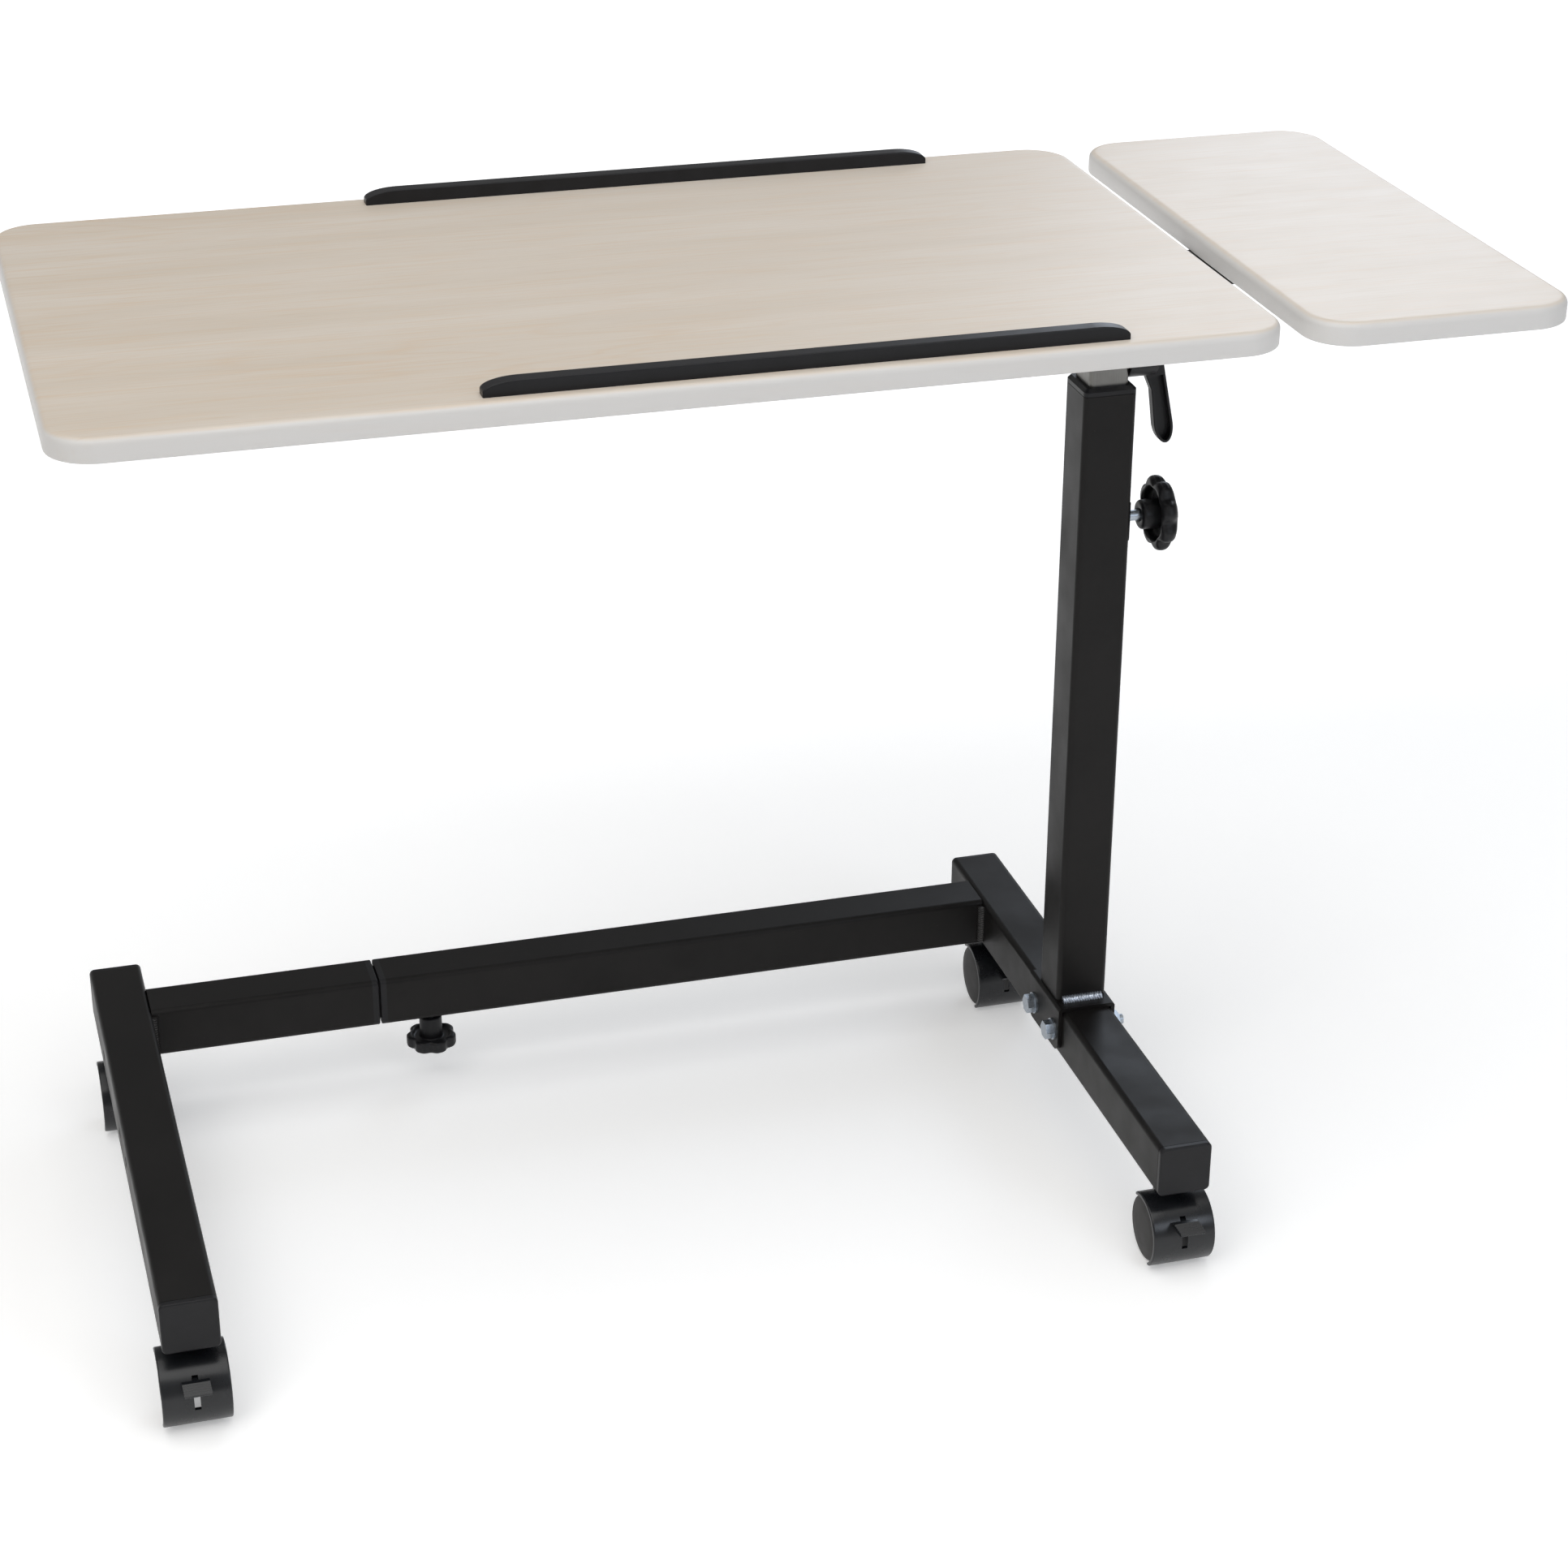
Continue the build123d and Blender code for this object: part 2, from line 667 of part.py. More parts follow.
# Ledges along the front and back edges: flat bars whose ends ramp down to a blunt nose.
ledge_left = main_left + ledge_start
ledge_right = ledge_left + ledge_length
ledge_rise = ledge_height - ledge_nose
front_ledge_y = table_y - top_depth / 2 + ledge_margin
back_ledge_y = table_y + top_depth / 2 - ledge_margin - ledge_width
for ledge_name, ledge_y in (("front", front_ledge_y), ("back", back_ledge_y)):
    with BuildPart() as ledge:
        with BuildSketch(Plane((0, ledge_y + ledge_width, table_height), x_dir=(1, 0, 0), z_dir=(0, -1, 0))):
            with BuildLine():
                left_ramp = EllipticalCenterArc(
                    (ledge_left + ledge_ramp, ledge_nose), ledge_ramp, ledge_rise, start_angle=90, arc_size=90
                )
                right_ramp = EllipticalCenterArc(
                    (ledge_right - ledge_ramp, ledge_nose), ledge_ramp, ledge_rise, start_angle=0, arc_size=90
                )
                Line(right_ramp @ 1, left_ramp @ 0)
                Polyline(left_ramp @ 1, (ledge_left, 0), (ledge_right, 0), right_ramp @ 0)
            make_face()
        extrude(amount=ledge_width)
        fillet(ledge.edges().filter_by(Axis.X).group_by(Axis.Z)[-1], 1.0)
    finish(ledge.part, f"{ledge_name}_ledge")

# ------------------------------------------------------------------ tilt lever
# The blade hangs at the hub's outer end and leans outwards; its hollow faces the front.
lean = math.radians(lever_lean)
blade_plane = Plane(
    origin=(lever_left + lever_hub_length + lever_lip, table_y - lever_depth / 2, pivot_z),
    x_dir=(-math.cos(lean), 0, -math.sin(lean)),
    z_dir=(0, 1, 0),
)


def blade_profile(inset):
    """Outline of the blade: a flare at the hub, nearly straight sides and a long round tip."""
    half_width = lever_tip_width / 2
    with BuildLine() as outline:
        tip_length = lever_tip_length - inset
        tip = EllipticalCenterArc(
            (half_width, -lever_reach), half_width - inset, tip_length, start_angle=180, arc_size=180
        )
        Polyline(
            tip @ 1,
            (lever_root_width - inset, -1.5 * hub_radius),
            (lever_root_width + lever_flare - inset, -hub_radius / 2),
            (lever_root_width + lever_flare - inset, hub_radius / 2),
            (inset, hub_radius / 2),
            tip @ 0,
        )
    make_face(outline.edges())


with BuildPart() as lever:
    with BuildSketch(blade_plane):
        blade_profile(0)
    extrude(amount=lever_depth)
    fillet(lever.faces().sort_by(Axis.Y)[0].edges(), lever_rim / 2)
    fillet(lever.faces().sort_by(Axis.Y)[-1].edges(), lever_rim)
    with BuildSketch(blade_plane):
        blade_profile(lever_rim)
        with Locations((0, hub_radius)):
            Rectangle(4 * hub_radius, 4 * hub_radius, mode=Mode.SUBTRACT)
    extrude(amount=lever_recess, mode=Mode.SUBTRACT)
    with BuildSketch(along_x(lever_left, table_y, pivot_z)):
        Circle(hub_radius)
    extrude(amount=lever_hub_length)
    with BuildSketch(along_x(lever_left, table_y, pivot_z)):
        Circle(insert_radius)
    extrude(amount=insert_length, mode=Mode.SUBTRACT)
    with BuildSketch(along_x(lever_left, table_y, pivot_z)):
        Circle(pivot_radius + running)
    extrude(amount=bolt_end - lever_left + gap, mode=Mode.SUBTRACT)
finish(lever.part, "tilt_lever")

with BuildPart() as lever_insert:
    with BuildSketch(along_x(lever_left, table_y, pivot_z)):
        Circle(insert_radius)
        Circle(pivot_radius + running, mode=Mode.SUBTRACT)
    extrude(amount=insert_length)
finish(lever_insert.part, "tilt_lever_insert")

# ------------------------------------------------------------------ height knob, axis along +X
rim_left = tube_face + height_knob_standoff + height_knob_hub_step
rim_right = rim_left + height_knob_rim
hub_left = tube_face + height_knob_standoff
with BuildPart() as height_knob:
    with BuildSketch(along_x(rim_left, table_y, knob_z)):
        star_profile(height_knob_radius, knob_lobes)
    extrude(amount=height_knob_rim)
    fillet(height_knob.faces().sort_by(Axis.X)[-1].edges(), 2.5)
    with BuildSketch(along_x(rim_right, table_y, knob_z)):
        Circle(height_knob_radius * 0.6)
    extrude(amount=height_knob_dome)
    fillet(height_knob.faces().sort_by(Axis.X)[-1].edges(), height_knob_dome * 0.7)
    with BuildSketch(along_x(rim_left, table_y, knob_z)):
        Circle(height_knob_radius * 0.66)
        Circle(height_knob_hub, mode=Mode.SUBTRACT)
    extrude(amount=height_knob_rim - 2.5, mode=Mode.SUBTRACT)
    with BuildSketch(along_x(hub_left, table_y, knob_z)):
        Circle(height_knob_hub)
    extrude(amount=height_knob_hub_step)
    with BuildSketch(along_x(hub_left, table_y, knob_z)):
        Circle(m8_radius)
    extrude(amount=height_knob_hub_step + height_knob_rim - 2.5, mode=Mode.SUBTRACT)
finish(height_knob.part, "height_knob")

with BuildPart() as height_screw:
    with BuildSketch(along_x(column_right + gap, table_y, knob_z)):
        Circle(m8_radius)
    extrude(amount=rim_right - 2.5 - column_right - gap)
finish(height_screw.part, "height_knob_screw")

# ------------------------------------------------------------------ base knob, axis along +Z
neck_top = nut_bottom - stop_gap - gap
star_top = neck_top - base_knob_neck
star_bottom = star_top - base_knob_rim
with BuildPart() as base_knob:
    with BuildSketch(level(clamp_x, bar_y, star_bottom)):
        star_profile(base_knob_radius, knob_lobes - 1)
    extrude(amount=base_knob_rim)
    fillet(base_knob.faces().sort_by(Axis.Z)[0].edges(), 1.5)
    fillet(base_knob.faces().sort_by(Axis.Z)[-1].edges(), 1.5)
    with BuildSketch(level(clamp_x, bar_y, star_top)):
        Circle(base_knob_hub)
    extrude(amount=base_knob_neck)
    with BuildSketch(level(clamp_x, bar_y, star_top)):
        Circle(m8_radius)
    extrude(amount=base_knob_neck, mode=Mode.SUBTRACT)
finish(base_knob.part, "base_clamp_knob")

screw_tip = leg_z - bar_tube / 2 - gap
with BuildPart() as base_screw:
    with BuildSketch(level(clamp_x, bar_y, star_top)):
        Circle(m8_radius)
    extrude(amount=screw_tip - star_top)
finish(base_screw.part, "base_clamp_screw")

# ------------------------------------------------------------------ casters
# One caster is made with its stem on the Z axis, wheels trailing towards -Y.
axle_z = wheel_radius
hood_bore = hood_radius - hood_wall
brake_rib_pitch = (brake_pad_reach - hood_radius) / brake_pad_ribs
side_plane = Plane(origin=(0, -caster_trail, axle_z), x_dir=(0, 1, 0), z_dir=(1, 0, 0))


def sector(outer, inner, start, sweep):
    """Ring sector about the sketch's origin."""
    with BuildLine() as outline:
        rim = CenterArc((0, 0), outer, start, sweep)
        bore = CenterArc((0, 0), inner, start, sweep)
        Line(rim @ 0, bore @ 0)
        Line(rim @ 1, bore @ 1)
    make_face(outline.edges())


hood_sweep = hood_front_angle - hood_back_angle
stem_boss_top = caster_height - stem_flange - gap
with BuildPart() as hood:
    with BuildSketch(side_plane):
        sector(hood_radius, hood_bore, hood_back_angle, hood_sweep)
    extrude(amount=hood_half_width, both=True)
    end_edges = hood.edges().filter_by(Axis.X)
    outer_ends = end_edges.sort_by_distance(side_plane.origin)[-2:]
    fillet(outer_ends, hood_end_edge)
    outer_rims = hood.edges().filter_by(GeomType.CIRCLE)
    fillet(outer_rims.filter_by(lambda rim: abs(rim.radius - hood_radius) < gap), hood_edge)
    with BuildSketch(side_plane):
        sector(hood_bore + hood_wall / 2, 2 * axle_radius, 30, 90)
        Circle(2.5 * axle_radius)
    extrude(amount=boss_radius - 1, both=True)
    with BuildSketch(level(0, 0, axle_z + 2 * axle_radius)):
        Circle(boss_radius)
    extrude(amount=stem_boss_top - axle_z - 2 * axle_radius)
    with BuildSketch(level(0, 0, axle_z + 3 * axle_radius)):
        Circle(stem_pin_radius + running)
    extrude(amount=stem_boss_top - axle_z - 3 * axle_radius, mode=Mode.SUBTRACT)
    with BuildSketch(side_plane):
        Circle(axle_radius)
    extrude(amount=axle_half_length, both=True, mode=Mode.SUBTRACT)
    with BuildSketch(side_plane):
        sector(hood_radius + 1, hood_bore - 1, brake_slot_start, brake_slot_sweep)
    extrude(amount=brake_slot / 2, both=True, mode=Mode.SUBTRACT)

with BuildPart() as axle:
    with BuildSketch(side_plane):
        Circle(axle_radius)
    extrude(amount=axle_half_length, both=True)

# Two wheels share the axle: each a disc with a rounded tread and a raised cover outside.
with BuildPart() as wheels:
    with BuildSketch(Plane(origin=(wheel_inner, -caster_trail, axle_z), x_dir=(0, 1, 0), z_dir=(1, 0, 0))):
        Circle(wheel_radius)
    extrude(amount=wheel_outer - wheel_inner)
    fillet(wheels.edges().filter_by(GeomType.CIRCLE), wheel_edge)
    with BuildSketch(Plane(origin=(wheel_outer, -caster_trail, axle_z), x_dir=(0, 1, 0), z_dir=(1, 0, 0))):
        Circle(wheel_cover_radius)
    extrude(amount=wheel_cover)
    chamfer(wheels.faces().sort_by(Axis.X)[-1].edges(), wheel_cover * 0.8)
    with BuildSketch(Plane(origin=(wheel_inner, -caster_trail, axle_z), x_dir=(0, 1, 0), z_dir=(1, 0, 0))):
        Circle(axle_radius + running)
    extrude(amount=axle_half_length + gap - wheel_inner, mode=Mode.SUBTRACT)
    mirror(about=Plane.YZ)

# The brake is a foot pedal: a ribbed plate outside the hood on a neck through its slot.
with BuildPart() as brake:
    with BuildSketch(side_plane):
        with Locations((-brake_pad_reach, brake_pad_level)):
            Rectangle(brake_pad_reach, brake_pad_thickness, align=(Align.MIN, Align.MAX))
        with Locations((-brake_pad_reach, brake_pad_level)):
            for rib in range(brake_pad_ribs):
                with Locations((brake_rib_pitch * (rib + 0.7), 0)):
                    groove_align = (Align.MIN, Align.MAX)
                    Rectangle(brake_rib_pitch / 2, brake_rib_depth, align=groove_align, mode=Mode.SUBTRACT)
        Circle(hood_radius + gap, mode=Mode.SUBTRACT)
    extrude(amount=brake_pad_width / 2, both=True)
    with BuildSketch(side_plane):
        sector(hood_radius + brake_pad_thickness, 2 * wheel_radius / 3, brake_neck_start, brake_neck_sweep)
    extrude(amount=brake_slot / 2 - gap, both=True)
    with BuildSketch(side_plane):
        sector(hood_bore - gap, 2 * wheel_radius / 3, brake_neck_start, brake_neck_sweep)
    extrude(amount=boss_radius - 1, both=True)

caster_pieces = {
    "caster_hood": hood.part,
    "caster_axle": axle.part,
    "caster_wheels": wheels.part,
    "caster_brake": brake.part,
}
caster_places = {
    "front_left": (left_leg_x, table_y - stem_y, 0),
    "back_left": (left_leg_x, table_y + stem_y, 0),
    "front_right": (mast_x, table_y - stem_y, 0),
    "back_right": (mast_x, table_y + stem_y, 0),
}
for place_name, place in caster_places.items():
    for piece_name, piece in caster_pieces.items():
        with BuildPart() as copy:
            with Locations(place):
                add(piece)
        finish(copy.part, f"{piece_name}_{place_name}")

# The stems stay with the legs: a pin for the swivel, a flange and a thread into the tube.
pin_bottom = axle_z + 3 * axle_radius + gap
flange_bottom = caster_height - stem_flange
for side, leg_x in (("right", mast_x), ("left", left_leg_x)):
    with BuildPart() as stems:
        extrude(stem_discs(leg_x, pin_bottom, stem_pin_radius), amount=caster_height - pin_bottom)
        extrude(stem_discs(leg_x, flange_bottom, stem_flange_radius), amount=stem_flange)
        extrude(stem_discs(leg_x, caster_height, stem_thread_radius), amount=stem_thread)
    finish(stems.part, f"caster_stems_{side}")
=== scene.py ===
# %% [markdown]
# # An overbed table, dressed
#
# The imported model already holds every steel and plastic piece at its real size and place.
# This lesson gives each one its finish, and rebuilds the pieces whose surfaces are softer
# than plain solids: the wrapped boards, the star knobs, the wheels, the caster hoods and
# pedals, and the weld beads. All lengths are in metres.

# %% Load the frame
import json
import math

import bpy
import numpy as np
from mathutils import Matrix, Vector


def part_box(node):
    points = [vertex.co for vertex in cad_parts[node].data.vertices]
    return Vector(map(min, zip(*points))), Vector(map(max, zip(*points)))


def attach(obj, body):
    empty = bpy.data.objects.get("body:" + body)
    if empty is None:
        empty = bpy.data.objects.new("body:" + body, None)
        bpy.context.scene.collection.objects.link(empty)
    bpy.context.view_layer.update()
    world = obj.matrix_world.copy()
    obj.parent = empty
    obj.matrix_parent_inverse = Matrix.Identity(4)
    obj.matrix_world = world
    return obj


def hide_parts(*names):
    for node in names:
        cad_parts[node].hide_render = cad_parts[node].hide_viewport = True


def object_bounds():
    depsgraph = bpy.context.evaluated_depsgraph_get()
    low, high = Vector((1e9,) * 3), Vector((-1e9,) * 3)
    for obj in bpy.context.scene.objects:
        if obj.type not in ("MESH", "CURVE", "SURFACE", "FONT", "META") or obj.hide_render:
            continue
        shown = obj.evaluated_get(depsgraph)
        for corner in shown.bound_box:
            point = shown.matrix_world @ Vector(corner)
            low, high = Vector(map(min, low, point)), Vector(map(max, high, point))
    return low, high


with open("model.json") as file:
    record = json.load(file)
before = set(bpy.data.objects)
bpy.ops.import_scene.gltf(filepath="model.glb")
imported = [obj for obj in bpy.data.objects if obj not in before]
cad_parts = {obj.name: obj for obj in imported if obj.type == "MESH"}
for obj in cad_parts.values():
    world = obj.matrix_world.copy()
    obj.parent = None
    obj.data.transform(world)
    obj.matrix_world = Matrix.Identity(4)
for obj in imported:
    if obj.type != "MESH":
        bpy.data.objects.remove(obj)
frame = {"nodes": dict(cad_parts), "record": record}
nodes = frame["nodes"]
cad_low, cad_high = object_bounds()
MM = 0.001
print("frame box", [round(v, 4) for v in cad_low], [round(v, 4) for v in cad_high])

# %% [markdown]
# ## Camera
#
# The table is seen from the front, a little from its left and from above, with a long lens
# that keeps the legs nearly parallel. A Track To constraint could aim the camera, but it
# leaves no room for a small roll, so the matrix is worked out here from two angles, the
# roll, and a distance from the point that it aims at.

# %% Camera
AZIMUTH = math.radians(-16.1)
ELEVATION = math.radians(26.26)
ROLL = math.radians(0.28)
DISTANCE = 2.4535
LENS = 77.13
SENSOR = 36.0
CENTRE = (np.array(cad_low) + np.array(cad_high)) / 2
AIM = CENTRE + np.array([9.2, -15.35, -34.2]) * MM


def camera_axes(azimuth, elevation, roll):
    """Right, up and backward directions: forward is turned by azimuth about Z from +Y and
    dips by elevation, and right and up are then turned about it by roll."""
    forward = np.array([
        -math.sin(azimuth) * math.cos(elevation),
        math.cos(azimuth) * math.cos(elevation),
        -math.sin(elevation),
    ])
    right = np.array([math.cos(azimuth), math.sin(azimuth), 0.0])
    up = np.cross(right, forward)
    rolled_right = math.cos(roll) * right + math.sin(roll) * up
    rolled_up = math.cos(roll) * up - math.sin(roll) * right
    return rolled_right, rolled_up, -forward


def add_camera():
    """A camera that looks along its forward direction at AIM from DISTANCE away."""
    right, up, backward = camera_axes(AZIMUTH, ELEVATION, ROLL)
    place = np.eye(4)
    place[:3, 0] = right
    place[:3, 1] = up
    place[:3, 2] = backward
    place[:3, 3] = AIM + DISTANCE * backward
    camera = bpy.data.objects.new("camera", bpy.data.cameras.new("camera"))
    camera.data.sensor_width = SENSOR
    camera.data.lens = LENS
    bpy.context.scene.collection.objects.link(camera)
    camera.matrix_world = Matrix(place.tolist())
    bpy.context.scene.camera = camera
    return camera


camera = add_camera()
print("camera at", [round(v, 3) for v in camera.matrix_world.translation])

# %% [markdown]
# ## Light
#
# A white studio. One broad soft box overhead draws the pale gleam along the tops of the
# black tubes, and a small warm one high on the left gives the tops their cream tint. Two
# small cool ones on the right, one in front and one behind, keep the faces turned that way
# from going flat black. Sun lamps would be simpler, but their hard shadows would cut
# across the legs, so every lamp is an area.

# %% Light
scene = bpy.context.scene
scene.view_settings.view_transform = "Standard"
NEUTRAL, WARM, COOL = (1.0, 0.995, 0.98), (1.0, 0.96, 0.91), (0.8, 0.88, 1.0)
SURROUND = 0.3


def soft_box(name, place, target, size, power, colour):
    """A square area lamp at place, turned to face target."""
    lamp = bpy.data.lights.new(name, "AREA")
    lamp.size = size
    lamp.energy = power
    lamp.color = colour
    box = bpy.data.objects.new(name, lamp)
    scene.collection.objects.link(box)
    backward = np.array(place, float) - np.array(target, float)
    backward /= np.linalg.norm(backward)
    right = np.cross([0.0, 0.0, 1.0], backward)
    right /= np.linalg.norm(right)
    matrix = np.eye(4)
    matrix[:3, 0] = right
    matrix[:3, 1] = np.cross(backward, right)
    matrix[:3, 2] = backward
    matrix[:3, 3] = place
    box.matrix_world = Matrix(matrix.tolist())


soft_box("overhead_box", (-0.3, -0.7, 3.0), CENTRE, size=3.4, power=64.0, colour=NEUTRAL)
soft_box("key_box", (-1.9, -1.5, 2.2), CENTRE, size=1.4, power=11.0, colour=WARM)
soft_box("fill_box", (1.15, -2.4, 1.35), CENTRE, size=0.9, power=9.0, colour=COOL)
soft_box("back_box", (1.5, 2.1, 1.5), CENTRE, size=0.9, power=9.0, colour=COOL)
world = bpy.data.worlds.new("studio")
world.use_nodes = True
background = world.node_tree.nodes["Background"]
background.inputs["Color"].default_value = (1.0, 1.0, 1.0, 1.0)
background.inputs["Strength"].default_value = SURROUND
scene.world = world

# %% [markdown]
# ## A small kit for finishes
#
# Every finish is a Principled shader fed by a few noise patterns that are fixed to the
# piece, so that they travel with it. Painted images would need unwrapped surfaces, and the
# steel pieces are plain solids without them, so the patterns are worked out from place
# alone.


# %% Finish kit
class Finish:
    """A material under construction: nodes are added by kind and joined by socket."""

    def __init__(self, name, colour, roughness, metallic=0.0):
        self.material = bpy.data.materials.new(name)
        self.material.use_nodes = True
        self.tree = self.material.node_tree
        self.shader = self.tree.nodes["Principled BSDF"]
        self.shader.inputs["Base Color"].default_value = (*colour, 1.0)
        self.shader.inputs["Roughness"].default_value = roughness
        self.shader.inputs["Metallic"].default_value = metallic
        self.place = self.add("ShaderNodeTexCoord").outputs["Object"]

    def add(self, kind, **values):
        """A new node; values are its properties, or its input sockets by name."""
        node = self.tree.nodes.new(kind)
        for key, value in values.items():
            if hasattr(node, key):
                setattr(node, key, value)
            else:
                node.inputs[key.replace("_", " ")].default_value = value
        return node

    def join(self, out, into):
        """Joins an output socket to an input socket."""
        self.tree.links.new(out, into)

    def axes(self):
        """The place on the piece, split into its X, Y and Z sockets."""
        node = self.add("ShaderNodeSeparateXYZ")
        self.join(self.place, node.inputs[0])
        return node.outputs

    def noise(self, cell, stretch=(1.0, 1.0, 1.0), detail=3.0, distortion=0.0, shift=0.0):
        """Noise whose lumps are about cell metres across, drawn out along each axis by
        stretch; the result runs from 0 to 1."""
        mapping = self.add("ShaderNodeMapping")
        mapping.inputs["Scale"].default_value = [1.0 / (cell * s) for s in stretch]
        mapping.inputs["Location"].default_value = (shift, shift * 0.37, -shift * 0.71)
        self.join(self.place, mapping.inputs["Vector"])
        noise = self.add("ShaderNodeTexNoise", Scale=1.0, Detail=detail, Distortion=distortion)
        self.join(mapping.outputs["Vector"], noise.inputs["Vector"])
        return noise.outputs["Fac"]

    def ramp(self, factor, stops):
        """Colour or value by position along a ramp of (position, colour) stops."""
        ramp = self.add("ShaderNodeValToRGB")
        band = ramp.color_ramp
        while len(band.elements) < len(stops):
            band.elements.new(0.5)
        for element, (position, colour) in zip(band.elements, stops):
            element.position = position
            element.color = (*colour, 1.0)
        self.join(factor, ramp.inputs["Fac"])
        return ramp.outputs["Color"]

    def span(self, factor, low, high, start=0.0, end=1.0):
        """Maps factor from start..end onto low..high, held at both ends."""
        node = self.add("ShaderNodeMapRange")
        sockets = ("From Min", "From Max", "To Min", "To Max")
        for socket, value in zip(sockets, (start, end, low, high)):
            node.inputs[socket].default_value = value
        self.join(factor, node.inputs["Value"])
        return node.outputs["Result"]

    def times(self, first, second):
        """The product of a socket and another socket or plain value."""
        node = self.add("ShaderNodeMath", operation="MULTIPLY")
        self.join(first, node.inputs[0])
        if isinstance(second, bpy.types.NodeSocket):
            self.join(second, node.inputs[1])
        else:
            node.inputs[1].default_value = second
        return node.outputs[0]

    def mix(self, factor, first, second):
        """Mixes two colours; factor, first and second are sockets or plain values."""
        node = self.add("ShaderNodeMix", data_type="RGBA")
        sockets = (node.inputs[0], node.inputs[6], node.inputs[7])
        for socket, value in zip(sockets, (factor, first, second)):
            if isinstance(value, bpy.types.NodeSocket):
                self.join(value, socket)
            elif isinstance(value, tuple):
                socket.default_value = (*value, 1.0)
            else:
                socket.default_value = value
        return node.outputs[2]

    def bump(self, height, depth, strength=1.0):
        """Bump of about depth metres, added on top of any bump already there."""
        node = self.add("ShaderNodeBump", Strength=strength, Distance=depth)
        self.join(height, node.inputs["Height"])
        earlier = self.shader.inputs["Normal"].links
        if earlier:
            self.join(earlier[0].from_socket, node.inputs["Normal"])
        self.join(node.outputs["Normal"], self.shader.inputs["Normal"])


print("finish kit ready")

# %% [markdown]
# ## Black powder coat
#
# The frame is sprayed with powder and baked. The skin is satin, a little uneven like the
# peel of an orange, with faint cloudy patches where hands and dust have dulled it. One flat
# black would swallow the shape of the tubes, so roughness and tone both drift in slow
# clouds, and a few rubbed specks sit on top.

# %% Powder coat
COAT_BLACK = (0.0085, 0.0078, 0.0074)


def powder_coat():
    """Near-black coat: clouds of roughness, fine peel as bump, a few rubbed specks."""
    coat = Finish("powder_coat", COAT_BLACK, 0.4)
    coat.shader.inputs["Specular IOR Level"].default_value = 0.17
    clouds = coat.noise(0.045, detail=4.0)
    coat.join(coat.span(clouds, 0.36, 0.5, 0.3, 0.7), coat.shader.inputs["Roughness"])
    tone = coat.ramp(clouds, [(0.3, (0.0068, 0.0062, 0.006)), (0.7, (0.0112, 0.0103, 0.0099))])
    dust = coat.noise(0.0013, detail=1.0, shift=3.0)
    dusted = coat.mix(coat.span(dust, 0.0, 0.35, 0.76, 0.84), tone, (0.05, 0.048, 0.046))
    coat.join(dusted, coat.shader.inputs["Base Color"])
    coat.bump(coat.noise(0.0009, detail=2.0, shift=1.0), 0.00002, 0.35)
    return coat.material


finishes = {"frame_paint": powder_coat()}
print("powder coat made")

# %% [markdown]
# ## Maple foil
#
# The boards are pressed fibre wrapped in a printed foil. The print is a pale maple: a cream
# ground, broad soft bands, fine tan streaks along the grain, and a few flame-shaped rings.
# Blender's wave texture gives rings too, but ones that are far too even. Here noise that is
# stretched along X gives the streaks, and the contour lines of a slow noise give the rings.
# The print is painted paler towards its right end, a painted reflection of light from behind,
# and round the edges it gives way to a paler, cooler grey, a painted highlight on the edge
# band, told by height on the board.

# %% Foil
# Heights below which the board's edge band takes a painted highlight.
EDGE_HIGHLIGHT_HIGH = 0.7147
EDGE_HIGHLIGHT_LOW = 0.7132
# The X span over which the print takes a painted reflection, paler to the right.
REFLECTION_FROM, REFLECTION_TO = -0.4, 0.45
CONTOURS = 26.0


